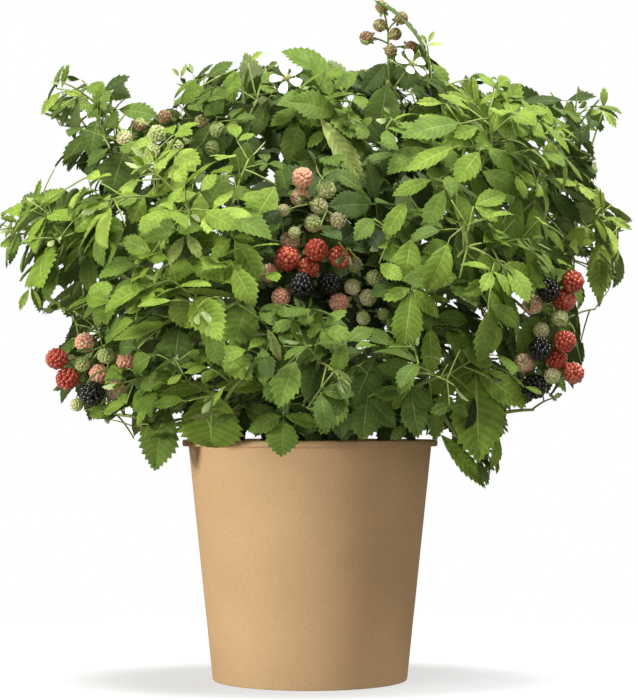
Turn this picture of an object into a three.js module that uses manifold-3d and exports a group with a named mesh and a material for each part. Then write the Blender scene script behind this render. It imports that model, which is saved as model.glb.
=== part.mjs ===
// A thornless bramble grown as a full patio bush in a plain kraft tub.
// Millimetres, +Z up. The origin is the middle of the tub's flat underside,
// and the side that is seen first faces -Y.

import * as THREE from "three";
import { mergeVertices } from "three/addons/utils/BufferGeometryUtils.js";
import Module from "manifold-3d";

const wasm = await Module();
wasm.setup();

// Driving sizes

const CLEARANCE = 0.3;
const JOIN_TOLERANCE = 0.1;
const CUT_TOLERANCE = 0.01;
const MERGE_TOLERANCE = 1e-5;
const UP = new THREE.Vector3(0, 0, 1);
const FRONT = new THREE.Vector3(0, -1, 0);
const GOLDEN_ANGLE = THREE.MathUtils.degToRad(137.5);

const TUB = {
  height: 214,
  wall: 2,
  footRadius: 87,
  topRadius: 109.5,
  rimRadius: 114.5,
  rimHeight: 6,
  rimEdge: 1.2,
  baseThickness: 4,
  facets: 36,
};
const SOIL = { top: 190, bottomGap: 0.3, crumbRise: 4, levelRadius: 38 };

// The woody stool that all the canes rise from, as height above the soil and radius.
const STOOL = {
  profile: [[0, 26], [3, 21], [9, 18], [22, 16.5], [36, 16], [42, 13]],
  facets: 14,
};

// A cane bends away from its first direction over a share of its length. A side cane leans on along the
// cane that it springs from.
const CANE = {
  sides: 5,
  steps: 5,
  baseRadius: 3,
  tipRadius: 2.1,
  lateralRadius: 2.5,
  bend: 0.45,
  lean: 0.5,
};

// Canes leave the stool in three whorls: distance from its axis, depth below its top, and steepness.
const WHORLS = {
  high: { offset: 10, depth: 3, steepness: 78 },
  middle: { offset: 11, depth: 15, steepness: 55 },
  low: { offset: 11, depth: 27, steepness: 40 },
};

// A cane ends where it enters its mass, on the side that faces the cane's start: a share of the mass's
// least reach from its middle, but no more than a share of the way to the start, and a little lower.
const ENTRY = { reachShare: 0.55, distanceShare: 0.5, dropShare: 0.12 };

const TWIG = {
  sides: 3,
  stemRadius: 3,
  forkRadius: 2.6,
  forkDepth: 0.3,
  stemBend: 0.5,
  stemCarriers: [0.3, 0.98],
  forks: [0.35, 0.97],
  shootRadius: 2.1,
  shootTip: 1.7,
  stalkRadius: 0.6,
  arch: 0.1,
  forkShare: 0.45,
  leafShares: [0.4, 0.6, 0.8, 0.97],
};

// Where two numbers stand for one size, chance picks it: a middle value and how far it varies.
const LEAD_SHOOT = { leafShare: 0.7, longestLeaf: 50, stub: 5, outwardTilt: 0.6 };
const SIDE_SHOOT = {
  rise: [0.3, 0.4],
  reach: [0.45, 0.06],
  outward: 0.5,
  bearingsTried: 5,
  bearingStep: 1.1,
};
const SPIRAL_LEAF = {
  angle: [0, 0.3],
  outward: 0.55,
  hubShare: [0.52, 0.07],
  faceAlong: 0.35,
  squareToStalk: 0.5,
  faceUp: [0.6, 0.2],
  faceOutward: [0.65, 0.2],
  headOutward: 0.3,
  headDown: 0.25,
  lengthShare: [1, 0.12],
};

const LATERAL_TURN = THREE.MathUtils.degToRad(82);

const LEAFLET = {
  length: 70,
  widthShare: 0.7,
  widestAt: 0.42,
  fold: 0.06,
  droop: 0.1,
  sink: 0.2,
  room: 0.4,
  bladeRoot: 1,
  shortestStalk: 12,
  stalkClear: 5.25,
  hubHalfThickness: 1.2,
  notch: 2.2,
  notchTurn: THREE.MathUtils.degToRad(45),
  fan: [[LATERAL_TURN, 0.86], [0, 1], [-LATERAL_TURN, 0.86]],
  turns: [0, 0.35, -0.35, 0.7, -0.7],
  stalkTurn: THREE.MathUtils.degToRad(40),
  steepestStalk: 0.85,
  bareShare: 0.12,
  sizes: [1, 0.8, 0.62],
  carriersTried: 6,
};

const BERRY = {
  radius: 9.5,
  stretch: 1.1,
  spacing: 10.5,
  stalkRadius: 0.7,
  stalkLength: 30,
  stalkClear: 0.3,
  facets: 5,
  crownShare: 0.96,
  shoulderRadius: 0.9,
  shoulderHeight: 0.42,
  firstTurn: 0.3,
  shifts: [0, 7, -7, 13, -13],
};
const TRUSS_END = 0.05;
const TRUSS_OVERLAP = 1;

// An open blossom: how wide and deep its cup of petals is, and how far in the notches between them reach.
const BLOSSOM = { radius: 15, depth: 4, thickness: 1.2, petals: 5, notchShare: 0.6, stalkLength: 26 };

// The seed of the first mass, and the step from one mass to the next.
const SEED = { first: 7001, step: 101 };

// What a foliage mass keeps from its neighbours, and from canes, tub and soil.
const MASS_GAP = 0.6;
const LIMB_GAP = 0.8;

// The crown's furthest points either way. Nothing grows beyond them.
const CROWN = { low: [-276, -228, 173], high: [292, 245, 608] };

// The crown's outline as it shows from a viewpoint in front, level with the tub's axis: how far across
// and how high its tips and notches are, clockwise from the left of the tub's rim.
const VIEWPOINT = new THREE.Vector3(8, -1900, 232);
const OUTLINE = [
  [-112, 213], [-121, 205], [-140, 183], [-149, 205], [-159, 221], [-161, 254], [-169, 241], [-180, 228],
  [-221, 239], [-232, 281], [-218, 309], [-212, 323], [-257, 329], [-269, 347], [-259, 365], [-281, 370],
  [-283, 415], [-258, 433], [-249, 453], [-236, 441], [-198, 441], [-205, 455], [-234, 458], [-216, 491],
  [-248, 509], [-229, 558], [-203, 536], [-178, 541], [-148, 520], [-142, 503], [-124, 521], [-117, 554],
  [-83, 552], [-74, 538], [-56, 567], [-43, 550], [-22, 565], [16, 567], [27, 550], [50, 556], [41, 588],
  [61, 610], [88, 610], [110, 588], [121, 570], [126, 547], [121, 530], [144, 545], [196, 541], [187, 521],
  [270, 540], [285, 496], [254, 489], [262, 452], [245, 449], [261, 442], [300, 408], [274, 394],
  [287, 362], [257, 330], [252, 367], [230, 385], [248, 349], [239, 308], [252, 295], [238, 257],
  [207, 242], [176, 246], [178, 217], [164, 170], [135, 190], [115, 213], [-9, 213], [-31, 194], [-54, 213],
];

// Each mass of foliage: the middle of its space, its reach each way from there, and the cane it grows
// from, which leaves the stool in a whorl or another cane at a share of its length. "tips" are the ends
// of its leading shoots, which make the crown's outline, "shoots" is how many more it has, "leaves" how
// many leaves stand round it, "blossoms" are its open ones, and "lowest" keeps a mass in front of the
// tub above the rim.
const MASSES = [
  { name: "top_left", centre: [-66, -15, 497], reach: [78, 70, 68], whorl: "high", shoots: 2, leaves: 10,
    tips: [[-114, -20, 543], [-53, -15, 557]],
    fruit: [{ centre: [-86, -66, 484], count: 3, spread: [1, 1] }] },
  { name: "top_middle", centre: [8, -30, 497], reach: [72, 70, 68], whorl: "high", shoots: 2, leaves: 10,
    tips: [[-4, -30, 552], [14, 0, 560]], blossoms: [[-20, -62, 530]] },
  { name: "top_right", centre: [78, -15, 512], reach: [76, 75, 100], whorl: "high", shoots: 2, leaves: 10,
    tips: [[110, -20, 552]], fruit: [{ centre: [71, -20, 577], count: 7, spread: [0.95, 0.95] }],
    blossoms: [[89, -66, 542]] },
  { name: "front_left_high", centre: [-98, -130, 405], reach: [85, 80, 75], whorl: "high", shoots: 3,
    leaves: 10, tips: [[-140, -150, 440]] },
  { name: "front_right_high", centre: [140, -110, 455], reach: [88, 80, 82], whorl: "middle", shoots: 3,
    leaves: 10, tips: [[142, -90, 528], [182, -90, 523]] },
  { name: "heart", centre: [12, -105, 374], reach: [78, 78, 82], whorl: "middle", shoots: 1, leaves: 8,
    tips: [], fruit: [
      { centre: [2, -142, 410], count: 8, spread: [1.1, 0.9] },
      { centre: [-8, -140, 358], count: 9, spread: [1.2, 0.95] },
      { centre: [44, -135, 334], count: 7, spread: [0.9, 1.1] },
    ] },
  { name: "left", centre: [-196, -40, 395], reach: [82, 78, 70], whorl: "middle", shoots: 2, leaves: 10,
    tips: [[-272, -30, 413], [-242, -20, 445], [-267, -30, 372]] },
  { name: "right_far", centre: [218, 0, 468], reach: [78, 82, 74], whorl: "middle", shoots: 2, leaves: 10,
    tips: [[267, 0, 532], [278, 0, 500], [252, -20, 455]] },
  { name: "rim_left", centre: [-80, -135, 255], reach: [80, 72, 62], whorl: "low", shoots: 2, leaves: 9,
    tips: [[-118, -165, 222]], lowest: 214 },
  { name: "rim_right", centre: [84, -132, 265], reach: [78, 72, 62], whorl: "low", shoots: 3, leaves: 9,
    tips: [[75, -185, 232]], lowest: 218 },
  { name: "back_top_left", centre: [-100, 105, 478], reach: [85, 85, 75], whorl: "high", shoots: 3,
    leaves: 8, tips: [[-110, 120, 545]] },
  { name: "back_top_right", centre: [85, 110, 483], reach: [85, 85, 75], whorl: "high", shoots: 3,
    leaves: 8, tips: [[80, 130, 550]] },
  { name: "back_left_low", centre: [-150, 105, 310], reach: [85, 85, 75], whorl: "middle", shoots: 3,
    leaves: 8, tips: [[-215, 150, 300]] },
  { name: "back_right_low", centre: [150, 110, 310], reach: [85, 85, 75], whorl: "middle", shoots: 3,
    leaves: 8, tips: [[215, 150, 310]] },
  { name: "back_middle_low", centre: [0, 150, 285], reach: [85, 80, 72], whorl: "low", shoots: 3,
    leaves: 8, tips: [[20, 225, 250]] },
  { name: "top_back", centre: [-8, 72, 500], reach: [75, 75, 70], whorl: "high", shoots: 3, leaves: 9,
    tips: [[-10, 60, 556]] },
  { name: "upper_left", centre: [-166, -20, 490], reach: [82, 80, 76], from: "top_left", at: 0.55,
    shoots: 2, leaves: 10, tips: [[-227, 0, 552], [-241, 0, 511], [-223, -20, 460]],
    fruit: [{ centre: [-138, -76, 480], count: 6, spread: [1.05, 0.95] }] },
  { name: "left_lower", centre: [-168, -50, 298], reach: [82, 75, 66], from: "left", at: 0.5, shoots: 1,
    leaves: 8, tips: [[-215, -20, 330]],
    fruit: [{ centre: [-186, -92, 271], count: 10, spread: [1, 1.05] }] },
  { name: "front_left_low", centre: [-92, -150, 325], reach: [80, 70, 62], from: "front_left_high",
    at: 0.55, shoots: 3, leaves: 10, tips: [[-165, -160, 318]] },
  { name: "front_right_mid", centre: [122, -145, 362], reach: [82, 75, 72], from: "front_right_high",
    at: 0.55, shoots: 3, leaves: 10, tips: [[80, -190, 325]] },
  { name: "right_edge", centre: [238, -20, 400], reach: [70, 75, 62], from: "right_far", at: 0.6,
    shoots: 1, leaves: 8, tips: [[290, -20, 405], [277, -20, 372], [256, -20, 338]] },
  { name: "right_lower", centre: [194, -50, 312], reach: [84, 80, 78], from: "right_far", at: 0.35,
    shoots: 1, leaves: 8, tips: [], fruit: [
      { centre: [212, -96, 334], count: 5, spread: [1, 1] },
      { centre: [205, -96, 284], count: 8, spread: [1, 0.95] },
    ] },
  { name: "lower_right", centre: [158, -55, 235], reach: [75, 75, 66], from: "rim_right", at: 0.45,
    shoots: 2, leaves: 9, tips: [[157, -60, 175], [171, -60, 220], [190, -60, 260]] },
  { name: "lower_left", centre: [-142, -55, 230], reach: [70, 75, 60], from: "rim_left", at: 0.45,
    shoots: 2, leaves: 9, tips: [[-136, -60, 187], [-152, -50, 240]] },
  { name: "front_middle_low", centre: [6, -150, 272], reach: [72, 65, 60], from: "heart", at: 0.35,
    shoots: 3, leaves: 9, tips: [[-26, -165, 202], [60, -190, 262]] },
  { name: "back_left_high", centre: [-178, 90, 405], reach: [82, 85, 75], from: "back_left_low", at: 0.5,
    shoots: 3, leaves: 8, tips: [[-245, 100, 438]] },
  { name: "back_right_high", centre: [168, 100, 405], reach: [85, 85, 75], from: "back_right_low", at: 0.5,
    shoots: 3, leaves: 8, tips: [[240, 110, 440]] },
  { name: "back_middle_high", centre: [0, 160, 390], reach: [85, 80, 75], from: "back_middle_low", at: 0.5,
    shoots: 3, leaves: 8, tips: [[0, 235, 400]] },
];

// Materials, in the colours of the real plant

const kraft = new THREE.MeshStandardMaterial({ color: 0xc49a6c, roughness: 0.85, metalness: 0 });
const compost = new THREE.MeshStandardMaterial({ color: 0x2e2118, roughness: 1, metalness: 0 });
const bark = new THREE.MeshStandardMaterial({ color: 0x6b5335, roughness: 0.9, metalness: 0 });
const greenCane = new THREE.MeshStandardMaterial({ color: 0x6f8440, roughness: 0.6, metalness: 0 });
const foliage = new THREE.MeshStandardMaterial({ color: 0x6b8a35, roughness: 0.55, metalness: 0 });

// Chance, the same on every run

function seededRandom(seed) {
  let state = seed >>> 0;
  return () => {
    state = (state + 0x6d2b79f5) >>> 0;
    let mixed = Math.imul(state ^ (state >>> 15), state | 1);
    mixed = (mixed + Math.imul(mixed ^ (mixed >>> 7), mixed | 61)) ^ mixed;
    return ((mixed ^ (mixed >>> 14)) >>> 0) / 2 ** 32;
  };
}

// Solids and meshes

function toSolid(geometry) {
  const bare = geometry.clone();
  bare.deleteAttribute("normal");
  bare.deleteAttribute("uv");
  const merged = mergeVertices(bare, MERGE_TOLERANCE);
  return new wasm.Manifold(new wasm.Mesh({
    numProp: 3,
    vertProperties: new Float32Array(merged.attributes.position.array),
    triVerts: new Uint32Array(merged.index.array),
  }));
}

function toGeometry(solid) {
  const mesh = solid.getMesh();
  const geometry = new THREE.BufferGeometry();
  geometry.setAttribute("position", new THREE.BufferAttribute(mesh.vertProperties, mesh.numProp));
  geometry.setIndex(new THREE.BufferAttribute(mesh.triVerts, 1));
  geometry.computeVertexNormals();
  return geometry;
}

function namedMesh(name, geometry, material) {
  const mesh = new THREE.Mesh(geometry, material);
  mesh.name = name;
  return mesh;
}

// A ring of radius about the Z axis for each [height, radius] of a closed or axis-to-axis profile.
function turned(profile, facets) {
  const points = profile.map(([height, radius]) => new THREE.Vector2(radius, height));
  const geometry = new THREE.LatheGeometry(points, facets);
  geometry.rotateX(Math.PI / 2);
  return geometry;
}

// A tapering limb: a cylinder bent along a curve.
function limbGeometry(curve, baseRadius, tipRadius, sides, steps, extra = 0) {
  const geometry = new THREE.CylinderGeometry(tipRadius + extra, baseRadius + extra, 1, sides, steps);
  const frames = curve.computeFrenetFrames(steps, false);
  const position = geometry.attributes.position;
  const point = new THREE.Vector3();
  for (let i = 0; i < position.count; i += 1) {
    const share = position.getY(i) + 0.5;
    const step = Math.round(share * steps);
    const across = position.getX(i);
    const along = position.getZ(i);
    point.copy(curve.getPointAt(share));
    point.addScaledVector(frames.normals[step], across);
    point.addScaledVector(frames.binormals[step], -along);
    position.setXYZ(i, point.x, point.y, point.z);
  }
  return geometry;
}

function straight(from, to) {
  return new THREE.LineCurve3(from, to);
}

// Vector helpers

function vector([x, y, z]) {
  return new THREE.Vector3(x, y, z);
}

function stepFrom(point, direction, distance) {
  return point.clone().addScaledVector(direction, distance);
}

function outwardFrom(point) {
  const outward = new THREE.Vector3(point.x, point.y, 0);
  return outward.lengthSq() > 1 ? outward.normalize() : FRONT.clone();
}

// The tub, its base and the compost

function tubRadiusAt(height) {
  return THREE.MathUtils.lerp(TUB.footRadius, TUB.topRadius, height / TUB.height);
}

function tubWall() {
  const { height, wall, rimRadius, rimHeight, rimEdge, topRadius } = TUB;
  const underRim = height - rimHeight;
  const innerTop = topRadius - wall;
  return turned([
    [0, tubRadiusAt(0) - wall],
    [0, tubRadiusAt(0)],
    [underRim, tubRadiusAt(underRim)],
    [underRim, rimRadius - rimEdge],
    [underRim + rimEdge, rimRadius],
    [height - rimEdge, rimRadius],
    [height, rimRadius - rimEdge],
    [height, innerTop + rimEdge],
    [height - rimEdge, innerTop],
    [0, tubRadiusAt(0) - wall],
  ], TUB.facets);
}

function innerRadiusAt(height) {
  const share = height / (TUB.height - TUB.rimEdge);
  const inner = THREE.MathUtils.lerp(TUB.footRadius - TUB.wall, TUB.topRadius - TUB.wall, share);
  return inner - CLEARANCE / Math.cos(Math.PI / TUB.facets);
}

function tubBase() {
  const radius = innerRadiusAt(0);
  return turned([[0, 0], [0, radius], [TUB.baseThickness, radius], [TUB.baseThickness, 0]], TUB.facets);
}

function soil() {
  const bottom = TUB.baseThickness + SOIL.bottomGap;
  return turned([
    [bottom, 0],
    [bottom, innerRadiusAt(bottom)],
    [SOIL.top - SOIL.crumbRise, innerRadiusAt(SOIL.top - SOIL.crumbRise)],
    [SOIL.top, SOIL.levelRadius],
    [SOIL.top, 0],
  ], TUB.facets);
}

// The stool and its canes

const stoolFoot = SOIL.top + CLEARANCE;
const stoolTop = stoolFoot + STOOL.profile.at(-1)[0];

function stool(extra = 0) {
  const rings = STOOL.profile.map(([height, radius]) => [stoolFoot + height, radius + extra]);
  rings.at(-1)[0] += extra;
  return turned([[stoolFoot, 0], ...rings, [stoolTop + extra, 0]], STOOL.facets);
}

function entryPoint(mass, from) {
  const centre = vector(mass.centre);
  const inward = from.clone().sub(centre);
  const distance = inward.length();
  inward.normalize();
  const reach = Math.min(...mass.reach);
  const depth = Math.min(reach * ENTRY.reachShare, distance * ENTRY.distanceShare);
  return centre.addScaledVector(inward, depth).addScaledVector(UP, -reach * ENTRY.dropShare);
}

function caneCurve(start, direction, end) {
  const bend = start.distanceTo(end) * CANE.bend;
  return new THREE.QuadraticBezierCurve3(start, stepFrom(start, direction, bend), end);
}

function caneFromStool(mass) {
  const whorl = WHORLS[mass.whorl];
  const outward = outwardFrom(vector(mass.centre));
  const start = stepFrom(new THREE.Vector3(0, 0, stoolTop - whorl.depth), outward, whorl.offset);
  const steepness = THREE.MathUtils.degToRad(whorl.steepness);
  const direction = outward.clone().multiplyScalar(Math.cos(steepness));
  direction.addScaledVector(UP, Math.sin(steepness));
  return { curve: caneCurve(start, direction, entryPoint(mass, start)), baseRadius: CANE.baseRadius };
}

function caneFromCane(mass, parent) {
  const start = parent.curve.getPointAt(mass.at);
  const along = parent.curve.getTangentAt(mass.at);
  const end = entryPoint(mass, start);
  const direction = end.clone().sub(start).normalize();
  direction.addScaledVector(along, CANE.lean).normalize();
  return { curve: caneCurve(start, direction, end), baseRadius: CANE.lateralRadius };
}

function planCanes() {
  const canes = new Map();
  for (const mass of MASSES) {
    const cane = mass.whorl ? caneFromStool(mass) : caneFromCane(mass, canes.get(mass.from));
    cane.parent = mass.from;
    canes.set(mass.name, cane);
  }
  return canes;
}

function caneSolid(cane, extra = 0) {
  const { sides, steps, tipRadius } = CANE;
  return toSolid(limbGeometry(cane.curve, cane.baseRadius, tipRadius, sides, steps, extra));
}

// The largest piece of a cut or joined solid, with the slivers of its joins smoothed away: loose scraps
// go, and sealed hollows are filled.
function largestPiece(solid, tolerance = JOIN_TOLERANCE) {
  const smooth = solid.asOriginal().simplify(tolerance);
  return smooth.decompose().reduce((best, piece) => (piece.volume() > best.volume() ? piece : best));
}

// The space of a mass

function isInCrown(mass, point) {
  const lowest = mass.lowest ?? CROWN.low[2];
  return point.toArray().every((value, axis) => value > CROWN.low[axis] && value < CROWN.high[axis])
    && point.z > lowest;
}

// Whether a point shows inside the crown's outline from the viewpoint.
function isInOutline(point) {
  const share = -VIEWPOINT.y / (point.y - VIEWPOINT.y);
  const across = THREE.MathUtils.lerp(VIEWPOINT.x, point.x, share);
  const height = THREE.MathUtils.lerp(VIEWPOINT.z, point.z, share);
  const crossed = OUTLINE.filter(([x, z], i) => {
    const [nextX, nextZ] = OUTLINE[(i + 1) % OUTLINE.length];
    return (z > height) !== (nextZ > height) && across < x + (nextX - x) * (height - z) / (nextZ - z);
  });
  return crossed.length % 2 === 1;
}

// A mass has the part of the crown that lies nearer to it than to any other, less the gap between them.
function isInside(mass, point) {
  if (!isInCrown(mass, point)) {
    return false;
  }
  const own = vector(mass.centre);
  const ownPower = own.distanceToSquared(point) - meanReach(mass) ** 2;
  return MASSES.every((other) => {
    if (other === mass) {
      return true;
    }
    const centre = vector(other.centre);
    const power = centre.distanceToSquared(point) - meanReach(other) ** 2;
    return (power - ownPower) / (2 * own.distanceTo(centre)) > MASS_GAP / 2;
  });
}

function meanReach(mass) {
  return Math.cbrt(mass.reach[0] * mass.reach[1] * mass.reach[2]);
}

// Leaves and berries, each with its stalk as one closed body

// The three outer points of a leaflet: one edge, the tip and the other edge.
function leafletOutline(hub, direction, normal, length) {
  const side = direction.clone().cross(normal).normalize();
  const widest = stepFrom(hub, direction, length * LEAFLET.widestAt);
  widest.addScaledVector(normal, length * LEAFLET.fold);
  const halfWidth = length * LEAFLET.widthShare / 2;
  const tip = stepFrom(hub, direction, length).addScaledVector(normal, -length * LEAFLET.droop);
  return [stepFrom(widest, side, -halfWidth), tip, stepFrom(widest, side, halfWidth)];
}

// A leaf: a four-sided stalk from its root to its hub, with the leaflets fanned out round the hub. Each
// leaflet is eight faces that thin out from the hub. They come in order from the normal's left to right.
function leafGeometry(root, hub, normal, leaflets, extra = 0) {
  const vertices = [];
  const triangles = [];
  const add = (point) => vertices.push(point) - 1;
  const halfHub = LEAFLET.hubHalfThickness + extra;
  const halfStalk = TWIG.stalkRadius + extra;
  const along = hub.clone().sub(root).normalize();
  const sideways = along.clone().cross(normal).normalize();
  const upward = sideways.clone().cross(along);
  const notchAt = (direction, angle) => {
    const turned = direction.clone().applyAxisAngle(normal, angle);
    return add(stepFrom(hub, turned, LEAFLET.notch + extra));
  };
  const notches = [notchAt(leaflets[0].direction, LEAFLET.notchTurn)];
  for (let i = 1; i < leaflets.length; i += 1) {
    const between = leaflets[i - 1].direction.clone().add(leaflets[i].direction).normalize();
    notches.push(notchAt(between, 0));
  }
  notches.push(notchAt(leaflets.at(-1).direction, -LEAFLET.notchTurn));
  const rims = leaflets.map(({ outline }, i) => [notches[i], ...outline.map(add), notches[i + 1]]);
  const hubs = [1, -1].map((face) => add(stepFrom(hub, normal, face * halfHub)));
  const rootLeft = add(stepFrom(root, sideways, -halfStalk));
  const rootRight = add(stepFrom(root, sideways, halfStalk));
  const rootEnds = [1, -1].map((face) => add(stepFrom(root, upward, face * halfStalk)));
  hubs.forEach((hubIndex, back) => {
    const triangle = (a, b, c) => triangles.push(...(back ? [a, b, c] : [a, c, b]));
    triangle(rootLeft, notches[0], hubIndex);
    triangle(rootLeft, hubIndex, rootEnds[back]);
    triangle(hubIndex, notches.at(-1), rootRight);
    triangle(hubIndex, rootRight, rootEnds[back]);
    triangle(rootEnds[back], rootRight, rootLeft);
    for (const rim of rims) {
      for (let k = 0; k + 1 < rim.length; k += 1) {
        triangle(rim[k], rim[k + 1], hubIndex);
      }
    }
  });
  const geometry = new THREE.BufferGeometry().setFromPoints(vertices);
  geometry.setIndex(triangles);
  return geometry;
}

// Moves what was turned about the Y axis so that it springs from the root and points to its place.
function pointed(geometry, root, place) {
  const along = place.clone().sub(root).normalize();
  geometry.applyQuaternion(new THREE.Quaternion().setFromUnitVectors(new THREE.Vector3(0, 1, 0), along));
  geometry.translate(root.x, root.y, root.z);
  return geometry;
}

// A berry on its stalk.
function berryGeometry(root, place) {
  const length = root.distanceTo(place);
  const { radius, stretch, stalkRadius, facets, crownShare, shoulderRadius, shoulderHeight } = BERRY;
  const half = radius * stretch;
  const profile = [
    [0, 0],
    [stalkRadius, 0],
    [stalkRadius, length - half * crownShare],
    [radius * shoulderRadius, length - half * shoulderHeight],
    [radius * shoulderRadius, length + half * shoulderHeight],
    [0, length + half],
  ];
  const points = profile.map(([x, y]) => new THREE.Vector2(x, y));
  return pointed(new THREE.LatheGeometry(points, facets), root, place);
}

// A blossom on its stalk: a shallow cup with a point for each petal and a notch between two.
function blossomGeometry(root, place) {
  const length = root.distanceTo(place);
  const { radius, depth, thickness, petals, notchShare } = BLOSSOM;
  const profile = [
    [0, 0],
    [BERRY.stalkRadius, 0],
    [BERRY.stalkRadius, length - thickness],
    [radius, length + depth - thickness],
    [radius, length + depth],
    [0, length + thickness],
  ];
  const points = profile.map(([x, y]) => new THREE.Vector2(x, y));
  const geometry = new THREE.LatheGeometry(points, petals * 2);
  const position = geometry.attributes.position;
  for (let i = 0; i < position.count; i += 1) {
    const line = Math.floor(i / points.length) % (petals * 2);
    if (line % 2 === 1 && position.getY(i) > length) {
      position.setX(i, position.getX(i) * notchShare);
      position.setZ(i, position.getZ(i) * notchShare);
    }
  }
  return pointed(geometry, root, place);
}

function vertexList(geometry) {
  const position = geometry.attributes.position;
  const vertexAt = (_, i) => new THREE.Vector3().fromBufferAttribute(position, i);
  return Array.from({ length: position.count }, vertexAt);
}

function overlaps(first, second) {
  return !first.intersect(second).isEmpty();
}

// Gathers the solids of one mass, and skips whatever leaves its space or touches what is there. Its
// leading shoots make the crown's outline, and the rest keeps within it.
class MassBuilder {
  constructor(mass, seed, obstacles) {
    this.mass = mass;
    this.centre = vector(mass.centre);
    this.obstacles = obstacles;
    this.parts = [];
    this.taken = [];
    this.carriers = [];
    this.random = seededRandom(seed);
    this.keepsOutline = false;
  }

  vary([middle, spread]) {
    return middle + (this.random() * 2 - 1) * spread;
  }

  isFree(geometry) {
    const points = vertexList(geometry);
    if (!points.every((point) => isInside(this.mass, point))) {
      return false;
    }
    if (this.keepsOutline && !points.every(isInOutline)) {
      return false;
    }
    const solid = toSolid(geometry);
    return this.obstacles.every((obstacle) => !overlaps(obstacle, solid));
  }

  addTwig(curve, baseRadius, tipRadius, steps, leafShares = TWIG.leafShares) {
    const geometry = limbGeometry(curve, baseRadius, tipRadius, TWIG.sides, steps);
    const beyondFork = straight(curve.getPointAt(TWIG.forkShare), curve.getPointAt(1));
    const outer = limbGeometry(beyondFork, baseRadius, tipRadius, TWIG.sides, 1);
    if (!this.isFree(geometry) || !this.isApart(outer)) {
      return false;
    }
    this.parts.push(toSolid(geometry));
    this.carriers.push(...leafShares.map((share) => curve.getPointAt(share)));
    return true;
  }

  // Whether a stalk and what it bears touch no other part than the twig that the stalk springs from.
  isApart(geometry) {
    const solid = toSolid(geometry);
    return this.parts.every((part) => !overlaps(part, solid));
  }

  // One leaflet of a leaf with the room it takes up, or nothing where that is outside or taken.
  openLeaflet(hub, normal, direction, length) {
    const inner = stepFrom(hub, direction, length * LEAFLET.bareShare);
    const outline = leafletOutline(hub, direction, normal, length);
    const bladeRoot = stepFrom(inner, direction, -LEAFLET.bladeRoot);
    const blade = leafGeometry(bladeRoot, inner, normal, [{ direction, outline }], LEAFLET.room);
    const solid = this.isFree(blade) ? toSolid(blade) : null;
    const hasRoom = solid && this.taken.every((other) => !overlaps(other, solid));
    return hasRoom ? { direction, outline, solid } : null;
  }

  // The leaflets that have room, fanned round the hub, each at the largest size that fits.
  fittingLeaflets(hub, normal, direction, length) {
    const fitting = [];
    for (const [turn, share] of LEAFLET.fan) {
      const heading = direction.clone().applyAxisAngle(normal, turn);
      for (const size of LEAFLET.sizes) {
        const leaflet = this.openLeaflet(hub, normal, heading, length * share * size);
        if (leaflet) {
          fitting.push(leaflet);
          break;
        }
      }
    }
    return fitting;
  }

  // A leaf turns its leaflets whichever way lets most of them open, away from its stalk, and is skipped if
  // none can.
  addLeaf(carrier, hub, normal, heading, length, turns) {
    const stalk = hub.clone().sub(carrier).normalize();
    const steepness = stalk.dot(normal);
    const away = stepFrom(stalk, normal, -steepness).normalize();
    let best = [];
    for (const turn of turns) {
      const direction = heading.clone().applyAxisAngle(normal, turn);
      const fitting = direction.angleTo(away) < LEAFLET.stalkTurn
        ? this.fittingLeaflets(hub, normal, direction, length) : [];
      if (fitting.length > best.length) {
        best = fitting;
      }
    }
    if (best.length === 0 || Math.abs(steepness) > LEAFLET.steepestStalk) {
      return false;
    }
    const geometry = leafGeometry(stepFrom(carrier, stalk, -LEAFLET.sink), hub, normal, best);
    const clearOfTwig = leafGeometry(stepFrom(carrier, stalk, LEAFLET.stalkClear), hub, normal, best);
    if (!this.isFree(geometry) || !this.isApart(clearOfTwig)) {
      return false;
    }
    this.parts.push(toSolid(geometry));
    this.taken.push(...best.map((leaflet) => leaflet.solid));
    return true;
  }

  // The places on twigs that could carry a leaf at the hub, nearest first.
  carriersFor(hub) {
    const distance = (point) => point.distanceTo(hub);
    const far = this.carriers.filter((point) => distance(point) > LEAFLET.shortestStalk);
    return far.sort((a, b) => distance(a) - distance(b)).slice(0, LEAFLET.carriersTried);
  }

  // One of the leaves that stand evenly round the middle of the mass, in a spiral, more on its outer side.
  addSpiralLeaf(index, count) {
    const rise = 1 - 2 * (index + 0.5) / count;
    const angle = index * GOLDEN_ANGLE + this.vary(SPIRAL_LEAF.angle);
    const level = Math.sqrt(1 - rise * rise);
    const bearing = new THREE.Vector3(Math.cos(angle) * level, Math.sin(angle) * level, rise);
    bearing.addScaledVector(outwardFrom(this.centre), SPIRAL_LEAF.outward).normalize();
    const share = this.vary(SPIRAL_LEAF.hubShare);
    const toHub = bearing.clone().multiply(vector(this.mass.reach)).multiplyScalar(share);
    const hub = toHub.add(this.centre);
    const outward = outwardFrom(hub);
    const normal = bearing.clone().multiplyScalar(SPIRAL_LEAF.faceAlong);
    normal.addScaledVector(UP, this.vary(SPIRAL_LEAF.faceUp));
    normal.addScaledVector(outward, this.vary(SPIRAL_LEAF.faceOutward)).normalize();
    const length = LEAFLET.length * this.vary(SPIRAL_LEAF.lengthShare);
    for (const carrier of this.carriersFor(hub)) {
      const stalk = hub.clone().sub(carrier).normalize();
      const facing = stepFrom(normal, stalk, -normal.dot(stalk) * SPIRAL_LEAF.squareToStalk).normalize();
      const heading = stepFrom(bearing, outward, SPIRAL_LEAF.headOutward).add(stalk);
      heading.addScaledVector(UP, -SPIRAL_LEAF.headDown);
      heading.addScaledVector(facing, -heading.dot(facing)).normalize();
      if (this.addLeaf(carrier, hub, facing, heading, length, LEAFLET.turns)) {
        this.carriers.splice(this.carriers.indexOf(carrier), 1);
        return;
      }
    }
  }

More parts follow.
